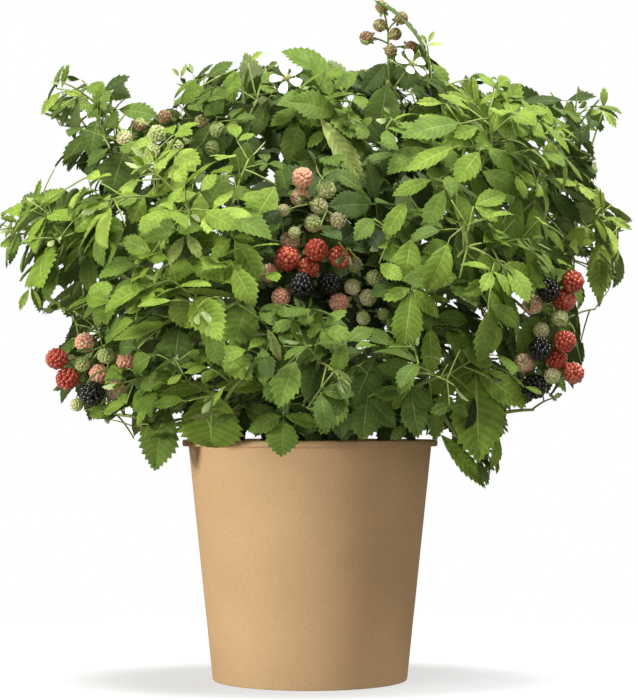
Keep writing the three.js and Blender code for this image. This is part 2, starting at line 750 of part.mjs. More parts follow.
  // A leading shoot ends in a leaf whose end leaflet makes a named tip of the crown's outline.
  addLeadShoot(from, tip) {
    const heading = tip.clone().sub(from);
    const distance = heading.length();
    heading.normalize();
    const length = Math.min(LEAD_SHOOT.longestLeaf, distance * LEAD_SHOOT.leafShare);
    const hub = stepFrom(tip, heading, -length);
    const end = stepFrom(hub, heading, -LEAD_SHOOT.stub);
    const middle = from.clone().lerp(end, 0.5).addScaledVector(UP, TWIG.arch * distance);
    const curve = new THREE.QuadraticBezierCurve3(from, middle, end);
    if (!this.addTwig(curve, TWIG.shootRadius, TWIG.shootTip, 2)) {
      return;
    }
    const normal = UP.clone().addScaledVector(outwardFrom(tip), LEAD_SHOOT.outwardTilt);
    normal.addScaledVector(heading, -normal.dot(heading)).normalize();
    this.carriers.pop();
    this.addLeaf(end, hub, normal, heading, length, [0]);
  }

  // The other shoots fan out evenly from the stem.
  addSideShoot(from, index) {
    const rise = this.vary(SIDE_SHOOT.rise);
    const reach = vector(this.mass.reach).multiplyScalar(this.vary(SIDE_SHOOT.reach));
    for (let attempt = 0; attempt < SIDE_SHOOT.bearingsTried; attempt += 1) {
      const angle = index * GOLDEN_ANGLE + attempt * SIDE_SHOOT.bearingStep;
      const bearing = new THREE.Vector3(Math.cos(angle), Math.sin(angle), rise);
      bearing.addScaledVector(outwardFrom(this.centre), SIDE_SHOOT.outward).normalize();
      const end = this.centre.clone().add(bearing.multiply(reach));
      const middle = from.clone().lerp(end, 0.5).addScaledVector(UP, TWIG.arch * from.distanceTo(end));
      const curve = new THREE.QuadraticBezierCurve3(from, middle, end);
      if (this.addTwig(curve, TWIG.shootRadius, TWIG.shootTip, 2)) {
        return;
      }
    }
  }

  // Berries packed in a spiral on the front of a truss, each on its own stalk from the truss's stalk.
  addTruss(from, truss) {
    const centre = vector(truss.centre);
    const across = UP.clone().cross(FRONT);
    const back = stepFrom(centre, FRONT, -BERRY.stalkLength);
    const top = back.clone().addScaledVector(UP, BERRY.spacing * truss.spread[1]);
    const foot = back.clone().addScaledVector(UP, -BERRY.spacing * truss.spread[1]);
    this.addTwig(straight(from, top), TWIG.shootRadius, TWIG.shootTip, 1, []);
    this.addTwig(straight(stepFrom(top, UP, TRUSS_OVERLAP), foot), TWIG.shootTip, TWIG.shootTip, 1, []);
    for (let i = 0; i < truss.count; i += 1) {
      const angle = i * GOLDEN_ANGLE;
      const distance = BERRY.spacing * Math.sqrt(i + BERRY.firstTurn);
      const place = stepFrom(centre, across, Math.cos(angle) * distance * truss.spread[0]);
      place.addScaledVector(UP, Math.sin(angle) * distance * truss.spread[1]);
      const drop = (top.z - place.z) / (top.z - foot.z);
      const share = THREE.MathUtils.clamp(drop, TRUSS_END, 1 - TRUSS_END);
      this.addBerry(top.clone().lerp(foot, share), place);
    }
  }

  // A berry stands in or out of its truss until it is clear of the others.
  addBerry(root, place) {
    for (const shift of BERRY.shifts) {
      const middle = stepFrom(place, FRONT, shift);
      const geometry = berryGeometry(root, middle);
      const clearOfTruss = berryGeometry(root.clone().lerp(middle, BERRY.stalkClear), middle);
      if (this.isFree(geometry) && this.isApart(clearOfTruss)) {
        this.parts.push(toSolid(geometry));
        this.taken.push(toSolid(clearOfTruss));
        return;
      }
    }
  }

  // An open blossom at the end of a twig, facing outward and up.
  addBlossom(from, place) {
    const facing = outwardFrom(place).add(UP).normalize();
    const end = stepFrom(place, facing, -BLOSSOM.stalkLength);
    const geometry = blossomGeometry(stepFrom(end, facing, -LEAFLET.sink), place);
    if (this.isFree(geometry) && this.isApart(geometry)
      && this.addTwig(straight(from, end), TWIG.shootRadius, TWIG.shootTip, 1, [])) {
      this.parts.push(toSolid(geometry));
      this.taken.push(toSolid(geometry));
    }
  }

  build(cane) {
    const { mass } = this;
    const along = cane.curve.getTangentAt(1);
    const entry = stepFrom(cane.curve.getPointAt(1), along, CLEARANCE);
    const fork = this.centre.clone().lerp(entry, TWIG.forkDepth);
    const bend = stepFrom(entry, along, entry.distanceTo(fork) * TWIG.stemBend);
    const stem = new THREE.QuadraticBezierCurve3(entry, bend, fork);
    this.parts.push(toSolid(limbGeometry(stem, TWIG.stemRadius, TWIG.forkRadius, TWIG.sides, 2)));
    this.carriers.push(...TWIG.stemCarriers.map((share) => stem.getPointAt(share)));
    const trusses = mass.fruit ?? [];
    const blossoms = mass.blossoms ?? [];
    const branches = trusses.length + blossoms.length + mass.tips.length + mass.shoots;
    let order = 0;
    const nextFork = () => {
      order += 1;
      return stem.getPointAt(THREE.MathUtils.lerp(...TWIG.forks, order / branches));
    };
    mass.tips.forEach((tip) => this.addLeadShoot(nextFork(), vector(tip)));
    this.keepsOutline = true;
    trusses.forEach((truss) => this.addTruss(nextFork(), truss));
    blossoms.forEach((place) => this.addBlossom(nextFork(), vector(place)));
    for (let i = 0; i < mass.shoots; i += 1) {
      this.addSideShoot(nextFork(), i);
    }
    for (let i = 0; i < mass.leaves; i += 1) {
      this.addSpiralLeaf(i, mass.leaves);
    }
    return largestPiece(wasm.Manifold.union(this.parts));
  }
}

// The whole plant

function buildPlant() {
  const plant = new THREE.Group();
  const wall = tubWall();
  plant.add(namedMesh("pot_wall", wall, kraft));
  plant.add(namedMesh("pot_base", tubBase(), kraft));
  plant.add(namedMesh("soil", soil(), compost));
  plant.add(namedMesh("stem", stool(), bark));

  const canes = planCanes();
  const obstacles = [toSolid(wall), toSolid(soil()), toSolid(stool(LIMB_GAP))];
  for (const [name, cane] of canes) {
    const parent = cane.parent ? caneSolid(canes.get(cane.parent), CLEARANCE) : toSolid(stool(CLEARANCE));
    const solid = largestPiece(caneSolid(cane).subtract(parent), CUT_TOLERANCE);
    plant.add(namedMesh(`cane_${name}`, toGeometry(solid), greenCane));
    obstacles.push(caneSolid(cane, LIMB_GAP));
  }

  MASSES.forEach((mass, index) => {
    const builder = new MassBuilder(mass, SEED.first + index * SEED.step, obstacles);
    const solid = builder.build(canes.get(mass.name));
    plant.add(namedMesh(`leaves_${mass.name}`, toGeometry(solid), foliage));
  });
  return plant;
}

export default buildPlant();
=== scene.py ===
"""The looks of a thornless bramble in a plain kraft tub.

Its foliage, fruit and blossom grow on from the canes by the rule of the part's solids, carried to finer
twigs and leaves. Sizes are millimetres in the part's own frame until a mesh or an object is made.
"""

import math
from types import SimpleNamespace

import bpy
import numpy as np
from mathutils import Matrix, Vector, noise


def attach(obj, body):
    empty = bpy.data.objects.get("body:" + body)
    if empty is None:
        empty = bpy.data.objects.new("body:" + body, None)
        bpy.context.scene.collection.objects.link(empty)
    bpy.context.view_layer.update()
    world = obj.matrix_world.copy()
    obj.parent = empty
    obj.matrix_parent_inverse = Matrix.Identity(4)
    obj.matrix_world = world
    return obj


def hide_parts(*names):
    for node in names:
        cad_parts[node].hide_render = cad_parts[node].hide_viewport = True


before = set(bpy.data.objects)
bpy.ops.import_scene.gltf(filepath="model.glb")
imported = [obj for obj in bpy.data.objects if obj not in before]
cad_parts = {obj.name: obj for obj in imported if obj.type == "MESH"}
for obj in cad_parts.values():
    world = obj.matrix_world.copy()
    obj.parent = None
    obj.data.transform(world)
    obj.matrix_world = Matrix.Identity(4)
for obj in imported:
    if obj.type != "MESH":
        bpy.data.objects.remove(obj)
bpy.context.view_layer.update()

# Sizes of the part, as in its solids

MM = 0.001
UP = np.array([0.0, 0.0, 1.0])
FRONT = np.array([0.0, -1.0, 0.0])
GOLDEN_ANGLE = math.radians(137.5)
CLEARANCE = 0.3

TUB = SimpleNamespace(
    height=214, wall=2, foot_radius=87, top_radius=109.5, rim_radius=114.5, rim_height=6, base_thickness=4
)
SOIL = SimpleNamespace(top=190, crumb_rise=4)
STOOL_PROFILE = [(0, 26), (3, 21), (9, 18), (22, 16.5), (36, 16), (42, 13)]
CANE = SimpleNamespace(base_radius=3, tip_radius=2.1, lateral_radius=2.5, bend=0.45, lean=0.5)
WHORLS = {
    "high": SimpleNamespace(offset=10, depth=3, steepness=78),
    "middle": SimpleNamespace(offset=11, depth=15, steepness=55),
    "low": SimpleNamespace(offset=11, depth=27, steepness=40),
}
ENTRY = SimpleNamespace(reach_share=0.55, distance_share=0.5, drop_share=0.12)
TWIG = SimpleNamespace(
    fork_depth=0.3, stem_bend=0.5, stem_carriers=(0.3, 0.98), forks=(0.35, 0.97), shoot_radius=2.1,
    shoot_tip=1.2, arch=0.1, leaf_shares=(0.4, 0.6, 0.8, 0.97), sides=6, steps=6,
)
SIDE_SHOOT = SimpleNamespace(rise=(0.3, 0.4), reach=(0.45, 0.06), outward=0.5)
SKIRT = SimpleNamespace(
    leaves=46, radius=(60, 130), height=(232, 262), length=(34, 48), face_up=0.3, head_out=0.1
)
SPIRAL_LEAF = SimpleNamespace(
    angle=(0, 0.3), outward=0.55, hub_share=(0.52, 0.07), face_along=0.35, square_to_stalk=0.5,
    face_up=(0.6, 0.2), face_outward=(0.65, 0.2), head_outward=0.3, head_down=0.25,
    length_share=(1, 0.12),
)
BERRY = SimpleNamespace(
    spacing=10.5, first_turn=0.3, stalk_length=30, shifts=(0, 7, -7, 13, -13), stretch=1.1,
    truss_radii=(1.3, 1.0), root_shares=(0.05, 0.95), sizes=(0.93, 1.07), overlap=1.2, face_share=0.8,
    face_angles=range(6),
)
BLOSSOM = SimpleNamespace(
    stalk_length=24, stalk_radius=1.1, neck_gap=2, neck_radii=(0.9, 0.8), face_front=0.6, radius=12,
    face_angles=np.arange(8) * math.pi / 4,
)
SEED = SimpleNamespace(first=7001, step=101, finer=5003)
CROWN = SimpleNamespace(low=np.array([-276.0, -228.0, 173.0]), high=np.array([292.0, 245.0, 608.0]))
MASS_GAP = 0.6

# How far a finer leaf may reach over the border of its mass
BORDER_SLACK = 12

# How much of a leaflet keeps within the crown's outline, and how far leaves keep from the tub
OUTLINE_SHARE = 0.88
TUB_CLEARANCE = 3

# The viewpoint and what the lens takes in
VIEW = SimpleNamespace(place=np.array([8.1, -1900.0, 232.0]), aim_height=294.5, lens=108.6)

# The crown's outline as it shows from there, level with the tub's axis: how far across and how high its
# tips and notches are, clockwise from the left of the tub's rim.
OUTLINE = np.array([
    (-112, 213), (-121, 205), (-140, 183), (-149, 205), (-159, 221), (-161, 254), (-169, 241), (-180, 228),
    (-221, 239), (-232, 281), (-218, 309), (-212, 323), (-257, 329), (-269, 347), (-259, 365), (-281, 370),
    (-283, 415), (-258, 433), (-249, 453), (-236, 441), (-198, 441), (-205, 455), (-234, 458), (-216, 491),
    (-248, 509), (-229, 558), (-203, 536), (-178, 541), (-148, 520), (-142, 503), (-124, 521), (-117, 554),
    (-83, 552), (-74, 538), (-56, 567), (-43, 550), (-22, 565), (16, 567), (27, 550), (50, 556), (41, 588),
    (61, 610), (88, 610), (110, 588), (121, 570), (126, 547), (121, 530), (144, 545), (196, 541), (187, 521),
    (270, 540), (285, 496), (254, 489), (262, 452), (245, 449), (261, 442), (300, 408), (274, 394),
    (287, 362), (257, 330), (252, 367), (230, 385), (248, 349), (239, 308), (252, 295), (238, 257),
    (207, 242), (176, 246), (178, 217), (164, 170), (135, 190), (115, 213), (-9, 213), (-31, 194), (-54, 213),
], float)

# The masses of foliage


def truss(centre, ripeness, spread=(1, 1)):
    """A cluster of fruit: one letter of RIPENESS for each berry, from its middle outward in a spiral."""
    return SimpleNamespace(centre=np.array(centre, float), ripeness=ripeness, spread=spread)


def mass(name, centre, reach, shades, **more):
    """The middle of a mass's space, its reach each way, and the shades of its leaves, outer ones first.
    A row's shades are set partly by the leaves' age and partly as painted light and shade for where the
    mass lies in the crown.

    "whorl" says where its cane leaves the stool, or "stem" and "at" which cane it springs from. "tips" are
    the ends of its leading shoots.
    """
    facts = {
        "whorl": None, "stem": None, "at": 0, "shoots": 3, "leaves": 10, "tips": [], "fruit": [],
        "blossoms": [], "lowest": CROWN.low[2],
    }
    facts.update(more)
    return SimpleNamespace(
        name=name, centre=np.array(centre, float), reach=np.array(reach, float), shades=shades, **facts
    )


MASSES = [
    mass("top_left", (-66, -15, 497), (78, 70, 68), "gmmddk", whorl="high", shoots=2,
         tips=[(-114, -20, 543), (-53, -15, 557)], fruit=[truss((-86, -66, 484), "gng")]),
    mass("top_middle", (8, -30, 497), (72, 70, 68), "ggmmd", whorl="high", shoots=2,
         tips=[(-4, -30, 552), (14, 0, 560)], blossoms=[(-20, -62, 530)]),
    # Darker shades in the top right are partly painted shade.
    mass("top_right", (78, -15, 512), (76, 75, 100), "mddk", whorl="high", shoots=2,
         tips=[(110, -20, 552)], fruit=[truss((71, -20, 577), "nnnnnnn", (0.95, 0.95))],
         blossoms=[(89, -66, 542)]),
    mass("front_left_high", (-98, -130, 405), (85, 80, 75), "fbbggm", whorl="high",
         tips=[(-140, -150, 440)]),
    mass("front_right_high", (140, -110, 455), (88, 80, 82), "bbgggm", whorl="middle",
         tips=[(142, -90, 528), (182, -90, 523)]),
    # The heart's dark shades are painted shade for the hollow in the crown's middle.
    mass("heart", (12, -105, 374), (78, 78, 82), "mddkk", whorl="middle", shoots=1, leaves=8, fruit=[
        truss((2, -142, 410), "gpggsgps", (1.1, 0.9)),
        truss((-8, -140, 358), "rrkrpkppr", (1.2, 0.95)),
        truss((44, -135, 334), "ggsgpsg", (0.9, 1.1))]),
    mass("left", (-196, -40, 395), (82, 78, 70), "bbgmd", whorl="middle", shoots=2,
         tips=[(-272, -30, 413), (-242, -20, 445), (-267, -30, 372)]),
    mass("right_far", (218, 0, 468), (78, 82, 74), "ggmmd", whorl="middle", shoots=2,
         tips=[(267, 0, 532), (278, 0, 500), (252, -20, 455)]),
    mass("rim_left", (-80, -135, 255), (80, 72, 62), "bggmd", whorl="low", shoots=2, leaves=9,
         tips=[(-118, -165, 222)], lowest=197),
    mass("rim_right", (84, -132, 265), (78, 72, 62), "gmmdk", whorl="low", leaves=9,
         tips=[(75, -185, 232)], lowest=197),
    mass("back_top_left", (-100, 105, 478), (85, 85, 75), "bgmmd", whorl="high", leaves=8,
         tips=[(-110, 120, 545)]),
    mass("back_top_right", (85, 110, 483), (85, 85, 75), "bgmmd", whorl="high", leaves=8,
         tips=[(80, 130, 550)]),
    mass("back_left_low", (-150, 105, 310), (85, 85, 75), "gmmdd", whorl="middle", leaves=8,
         tips=[(-215, 150, 300)]),
    mass("back_right_low", (150, 110, 310), (85, 85, 75), "gmmdd", whorl="middle", leaves=8,
         tips=[(215, 150, 310)]),
    mass("back_middle_low", (0, 150, 285), (85, 80, 72), "gmmdd", whorl="low", leaves=8,
         tips=[(20, 225, 250)]),
    mass("top_back", (-8, 72, 500), (75, 75, 70), "bgmmd", whorl="high", leaves=8,
         tips=[(-10, 60, 556)]),
    mass("upper_left", (-166, -20, 490), (82, 80, 76), "gmmdd", stem="top_left", at=0.55, shoots=2,
         tips=[(-227, 0, 552), (-241, 0, 511), (-223, -20, 460)],
         fruit=[truss((-138, -76, 480), "gngngg", (1.05, 0.95))]),
    mass("left_lower", (-168, -50, 298), (82, 75, 66), "gmmdk", stem="left", at=0.5, shoots=1, leaves=8,
         tips=[(-215, -20, 330)], fruit=[truss((-186, -92, 271), "pgkgrppspr", (1, 1.05))]),
    mass("front_left_low", (-92, -150, 325), (80, 70, 62), "bbgmmd", stem="front_left_high", at=0.55,
         tips=[(-165, -160, 318)]),
    mass("front_right_mid", (122, -145, 362), (82, 75, 72), "bggmmd", stem="front_right_high", at=0.55,
         tips=[(80, -190, 325)]),
    # Lighter shades at the right edge and low on the right: painted light where the crown shades them.
    mass("right_edge", (238, -20, 400), (70, 75, 62), "fbbgm", stem="right_far", at=0.6, shoots=1, leaves=8,
         tips=[(290, -20, 405), (277, -20, 372), (256, -20, 338)]),
    mass("right_lower", (194, -50, 312), (84, 80, 78), "bggmd", stem="right_far", at=0.35, shoots=1,
         leaves=8, fruit=[truss((212, -96, 334), "rkgrp"), truss((205, -96, 284), "rkgrprgk", (1, 0.95))]),
    mass("lower_right", (158, -55, 235), (75, 75, 66), "bggmm", stem="rim_right", at=0.45, shoots=2, leaves=9,
         tips=[(157, -60, 175), (171, -60, 220), (190, -60, 260)]),
    mass("lower_left", (-142, -55, 230), (70, 75, 60), "ggmmd", stem="rim_left", at=0.45, shoots=2, leaves=9,
         tips=[(-136, -60, 187), (-152, -50, 240)]),
    mass("front_middle_low", (6, -150, 272), (72, 65, 60), "gmmdd", stem="heart", at=0.35, leaves=9,
         tips=[(-26, -165, 202), (60, -190, 262)]),
    mass("back_left_high", (-178, 90, 405), (82, 85, 75), "bggmd", stem="back_left_low", at=0.5, leaves=8,
         tips=[(-245, 100, 438)]),
    mass("back_right_high", (168, 100, 405), (85, 85, 75), "bggmd", stem="back_right_low", at=0.5,
         leaves=8, tips=[(240, 110, 440)]),
    mass("back_middle_high", (0, 160, 390), (85, 80, 75), "bggmd", stem="back_middle_low", at=0.5,
         leaves=8, tips=[(0, 235, 400)]),
]


def behind(across, height, depth):
    """The point at a depth, as Y, that shows from the viewpoint at a place level with the tub's axis."""
    share = (depth - VIEW.place[1]) / -VIEW.place[1]
    x = VIEW.place[0] + (across - VIEW.place[0]) * share
    z = VIEW.place[2] + (height - VIEW.place[2]) * share
    return np.array([x, depth, z])


# How much nearer to the viewpoint a leading leaf's tips are than its hub, and how it arches
TIP_LEAN = 7
SLIGHT_ARCH = 0.3


def leaf(mass_name, depth, shade, hub, *leaflets):
    """A leaf that stands out in its mass.

    The hub is how far across and how high it shows level with the tub's axis, and each leaflet is the same
    of its tip, with its width and, where it isn't slight, how it arches. The depth is the hub's Y.
    """
    tips = [
        SimpleNamespace(tip=behind(across, height, depth - TIP_LEAN), width=width,
                        arch=arch[0] if arch else SLIGHT_ARCH)
        for across, height, width, *arch in leaflets
    ]
    return SimpleNamespace(mass_name=mass_name, hub=behind(*hub, depth), shade=shade, leaflets=tips)


LEADING_LEAVES = [
    leaf("top_middle", -95, "y", (7, 507), (52, 447, 21)),
    leaf("top_middle", -75, "g", (-9, 503), (-20, 463, 24)),
    leaf("top_middle", -80, "g", (-15, 466), (10, 457, 14)),
    leaf("top_middle", -50, "m", (-36, 524), (-52, 488, 18)),
    leaf("top_left", -20, "m", (-96, 539), (-71, 557, 14)),
    leaf("top_left", -15, "f", (-56, 554), (-44, 565, 7)),
    leaf("top_left", -20, "y", (-117, 540), (-124, 549, 5), (-112, 553, 5)),
    leaf("top_left", -65, "m", (-84, 505), (-98, 462, 34)),
    leaf("top_left", -70, "g", (-56, 486), (-66, 445, 26)),
    leaf("upper_left", -40, "g", (-176, 512), (-138, 510, 22)),
    leaf("upper_left", -50, "m", (-167, 476), (-181, 437, 40)),
    leaf("upper_left", -40, "m", (-191, 506), (-200, 470, 25)),
    leaf("upper_left", -30, "m", (-198, 494), (-225, 463, 18)),
    leaf("upper_left", -15, "d", (-189, 527), (-165, 544, 14)),
    leaf("upper_left", 0, "f", (-225, 528), (-219, 554, 7), (-244, 509, 11), (-203, 525, 9)),
    leaf("left", -60, "b", (-234, 407), (-207, 389, 22)),
    leaf("left", -45, "b", (-248, 425), (-222, 441, 14), (-244, 449, 6)),
    leaf("left", -30, "g", (-261, 403), (-272, 372, 10)),
    leaf("left", -20, "f", (-260, 409), (-279, 415, 8)),
    leaf("left", -60, "g", (-200, 383), (-200, 348, 18)),
    leaf("left", -40, "f", (-252, 352), (-262, 331, 8), (-243, 331, 8)),
    leaf("front_left_high", -165, "b", (-68, 430), (-40, 436, 14)),
    leaf("front_left_high", -165, "b", (-70, 397), (-43, 358, 24), (-90, 377, 14), (-50, 394, 10)),
    leaf("front_left_high", -120, "b", (-149, 434), (-177, 430, 17), (-124, 444, 14), (-162, 410, 18)),
    leaf("front_left_high", -168, "f", (-99, 437), (-122, 430, 11), (-86, 454, 13), (-99, 410, 16)),
    leaf("front_left_high", -160, "y", (-112, 400), (-128, 372, 12), (-98, 378, 11)),
    leaf("front_left_low", -150, "g", (-54, 343), (-70, 297, 36)),
    leaf("front_left_low", -142, "m", (-117, 320), (-124, 273, 34)),
    leaf("front_left_low", -154, "f", (-126, 320), (-179, 307, 15)),
    leaf("front_left_low", -162, "f", (-121, 348), (-113, 315, 23), (-61, 346, 8)),
    leaf("front_left_low", -150, "y", (-40, 317), (-26, 285, 10)),
    leaf("rim_left", -128, "b", (-87, 262), (-94, 187, 58, 1.5), (-144, 259, 19), (-38, 265, 18)),
    leaf("lower_left", -62, "g", (-130, 248), (-141, 186, 37)),
    leaf("front_middle_low", -140, "g", (-24, 236), (-26, 199, 30), (-56, 223, 20), (11, 229, 14)),
    leaf("front_middle_low", -150, "m", (8, 290), (-4, 250, 24)),
    leaf("top_right", -60, "m", (70, 538), (61, 486, 36)),
    leaf("top_right", -35, "d", (98, 566), (84, 530, 30)),
    leaf("rim_right", -150, "m", (52, 252), (47, 214, 30), (78, 226, 22)),
    leaf("rim_right", -150, "m", (90, 262), (98, 216, 26), (112, 240, 16)),
    leaf("top_right", -40, "g", (47, 548), (22, 533, 18)),
    leaf("top_right", -45, "g", (108, 556), (126, 537, 13)),
    leaf("top_right", -62, "y", (106, 570), (112, 583, 5), (119, 572, 6), (101, 580, 5)),
    leaf("front_right_high", -120, "f", (123, 517), (97, 520, 10)),
    leaf("front_right_high", -170, "b", (155, 476), (131, 447, 25)),
    leaf("front_right_high", -155, "b", (133, 479), (85, 460, 20)),
    leaf("front_right_high", -160, "g", (158, 479), (185, 458, 18)),
    leaf("front_right_high", -150, "b", (155, 496), (130, 489, 18)),
    leaf("front_right_high", -120, "m", (185, 491), (208, 455, 17)),
    leaf("front_right_high", -125, "f", (151, 515), (125, 530, 7), (149, 541, 6), (176, 532, 7)),
    leaf("front_right_mid", -165, "b", (113, 449), (74, 437, 16)),
    leaf("front_right_mid", -170, "g", (123, 442), (103, 404, 20)),
    leaf("front_right_mid", -172, "g", (131, 440), (148, 403, 16)),
    leaf("front_right_mid", -165, "b", (90, 433), (64, 394, 18)),
    leaf("front_right_mid", -165, "b", (92, 398), (85, 358, 25)),
    leaf("front_right_mid", -152, "m", (137, 418), (144, 347, 23)),
    leaf("front_right_mid", -145, "g", (189, 439), (178, 374, 20)),
    leaf("front_right_mid", -140, "b", (203, 430), (198, 371, 16)),
    leaf("front_right_mid", -172, "b", (92, 350), (84, 292, 28), (66, 342, 14), (117, 325, 16)),
    leaf("front_right_mid", -150, "b", (108, 320), (110, 271, 19)),
    leaf("rim_right", -142, "m", (61, 293), (36, 241, 36)),
    leaf("right_far", 0, "f", (265, 511), (266, 532, 8), (277, 497, 9), (251, 508, 7)),
    leaf("right_far", -20, "d", (232, 520), (192, 522, 14), (258, 526, 12)),
    leaf("right_far", -20, "d", (252, 500), (240, 481, 18)),
    leaf("right_far", -40, "d", (214, 440), (246, 412, 20)),
    # Lighter shades at the right edge and low on the right: painted light where the crown shades them.
    leaf("right_edge", -30, "f", (261, 397), (261, 339, 25), (231, 398, 25)),
    leaf("right_edge", -20, "f", (263, 416), (291, 405, 9), (259, 442, 12)),
    leaf("right_lower", -62, "g", (212, 371), (248, 340, 26)),
    leaf("lower_right", -100, "b", (149, 277), (153, 193, 52), (197, 246, 31), (104, 259, 26)),
    leaf("lower_right", -84, "b", (115, 221), (161, 172, 18)),
]

CENTRES = np.array([m.centre for m in MASSES])
MEAN_REACHES = np.cbrt(np.array([m.reach.prod() for m in MASSES]))

# Chance, the same on every run


WORD = 0xFFFFFFFF
WORD_STEP = 0x6D2B79F5


def seeded_random(seed):
    """The random numbers of the part's solids, from 0 up to 1."""
    state = seed & WORD

    def draw():
        nonlocal state
        state = (state + WORD_STEP) & WORD
        mixed = ((state ^ (state >> 15)) * (state | 1)) & WORD
        mixed = ((mixed + (((mixed ^ (mixed >> 7)) * (mixed | 61)) & WORD)) & WORD) ^ mixed
        return (mixed ^ (mixed >> 14)) / (WORD + 1)

    return draw


# Vectors


def unit(vector):
    """The same heading at length 1."""
    return vector / np.linalg.norm(vector, axis=-1, keepdims=True)


def outward_from(point):
    """The level heading away from the plant's axis."""
    level = np.array([point[0], point[1], 0.0])
    return unit(level) if level @ level > 1 else FRONT


def turned(vector, axis, angle):
    """The vector turned about a unit axis."""
    along = axis * (vector @ axis)
    return along + (vector - along) * math.cos(angle) + np.cross(axis, vector) * math.sin(angle)


def flattened(vector, normal):
    """The unit heading of a vector within the plane square to the normal."""
    return unit(vector - normal * (vector @ normal))


# Curves and limbs


class Bend:
    """A quadratic Bezier curve that is measured along its length, by shares from 0 to 1."""

    STEPS = 40

    def __init__(self, start, middle, end):
        self.corners = (start, middle, end)
        self.grid = np.linspace(0, 1, self.STEPS + 1)
        points = self.raw(self.grid)
        steps = np.linalg.norm(np.diff(points, axis=0), axis=1)
        self.length = steps.sum()
        self.shares = np.concatenate([[0], np.cumsum(steps)]) / self.length

    def raw(self, t):
        """Points by the curve's own measure."""
        t = np.asarray(t)[..., None]
        start, middle, end = self.corners
        return (1 - t) ** 2 * start + 2 * t * (1 - t) * middle + t ** 2 * end

    def at(self, share):
        """The point, or points, at a share of the length."""
        return self.raw(np.interp(share, self.shares, self.grid))

    def heading(self, share):
        """The unit heading at a share of the length."""
        t = np.interp(share, self.shares, self.grid)
        start, middle, end = self.corners
        return unit((1 - t) * (middle - start) + t * (end - middle))


def straight(start, end):
    """A straight limb's curve."""
    return Bend(start, (start + end) / 2, end)


def tube(points, radii, sides, ribs=0, rib_depth=0.0):
    """Vertices, four-sided faces and three-sided faces of a round limb along points, closed at its ends."""
    points = np.asarray(points, float)
    radii = np.broadcast_to(radii, len(points))
    headings = unit(np.gradient(points, axis=0))
    least = np.eye(3)[np.argmin(np.abs(headings[0]))]
    normal = unit(np.cross(headings[0], least))
    angles = np.arange(sides) / sides * 2 * math.pi
    shape = 1 + rib_depth * np.cos(ribs * angles)
    rings = []
    for point, heading, radius in zip(points, headings, radii):
        normal = flattened(normal, heading)
        side = np.cross(heading, normal)
        ring = np.outer(np.cos(angles) * shape, normal) + np.outer(np.sin(angles) * shape, side)
        rings.append(point + ring * radius)
    vertices = np.concatenate([*rings, points[:1], points[-1:]])
    ring, nxt = np.arange(sides), (np.arange(sides) + 1) % sides
    rows = [np.stack([ring, nxt, nxt + sides, ring + sides], 1) + k * sides for k in range(len(points) - 1)]
    last = (len(points) - 1) * sides
    foot, head = len(vertices) - 2, len(vertices) - 1
    caps = [np.stack([nxt, ring, np.full(sides, foot)], 1),
            np.stack([ring + last, nxt + last, np.full(sides, head)], 1)]
    return vertices, np.concatenate(rows), np.concatenate(caps)


# Meshes of many small pieces


class Pile:
    """Gathers small meshes, to make one object of them."""

    def __init__(self):
        self.vertices = []
        self.faces = {3: [], 4: []}
        self.slots = {3: [], 4: []}
        self.count = 0

    def add(self, vertices, faces, slots=0):
        """Faces are rows of three or four vertex numbers, and slots their materials' numbers."""
        self.add_faces(faces, slots, self.count)
        self.vertices.append(vertices)
        self.count += len(vertices)

    def add_faces(self, faces, slots, offset):
        """Faces of vertices that start at the offset."""
        corners = faces.shape[1]
        self.faces[corners].append(faces + offset)
        self.slots[corners].append(np.broadcast_to(slots, len(faces)))

    def add_limb(self, limb, slot=0):
        """Adds what tube gives."""
        vertices, quads, caps = limb
        self.add_faces(caps, slot, self.count)
        self.add(vertices, quads, slot)

    def merge(self, other):
        """Takes in all that another pile holds."""
        for corners in self.faces:
            self.faces[corners] += [faces + self.count for faces in other.faces[corners]]
            self.slots[corners] += other.slots[corners]
        self.vertices += other.vertices
        self.count += other.count

    def triangles(self):
        """How many there are once each four-sided face is cut in two."""
        return sum(len(rows) for rows in self.faces[3]) + 2 * sum(len(rows) for rows in self.faces[4])

    def make(self, name, materials):
        """One object in metres, with smooth shading."""
        mesh = bpy.data.meshes.new(name)
        vertices = np.concatenate(self.vertices) * MM
        blocks = [np.concatenate(self.faces[corners]) for corners in (3, 4) if self.faces[corners]]
        slots = np.concatenate([np.concatenate(self.slots[k]) for k in (3, 4) if self.slots[k]])
        corners = np.concatenate([np.full(len(block), block.shape[1]) for block in blocks])
        mesh.vertices.add(len(vertices))
        mesh.vertices.foreach_set("co", vertices.astype(np.float32).ravel())
        loops = np.concatenate([block.ravel() for block in blocks])
        mesh.loops.add(len(loops))
        mesh.loops.foreach_set("vertex_index", loops.astype(np.int32))
        mesh.polygons.add(len(corners))
        mesh.polygons.foreach_set("loop_start", (np.cumsum(corners) - corners).astype(np.int32))
        for material in materials:
            mesh.materials.append(material)
        mesh.polygons.foreach_set("material_index", slots.astype(np.int32))
        mesh.polygons.foreach_set("use_smooth", np.ones(len(corners), bool))
        mesh.update(calc_edges=True)
        piece = bpy.data.objects.new(name, mesh)
        bpy.context.scene.collection.objects.link(piece)
        return piece


# Blades: leaflets, petals and sepals

UPPER, RIB, UNDER, VEIN_SHADE = 0, 1, 2, 3
RIB_SHARE = 0.028
RELIEF = SimpleNamespace(groove=0.006, pleat=0.02, thickness=0.02, forward=0.15, tooth=0.9, notch=0.84)
WIDEST_AT = 0.42
LEAFLET_SHAPE = SimpleNamespace(base=0.7, shoulder=1.35, tip=1.5)


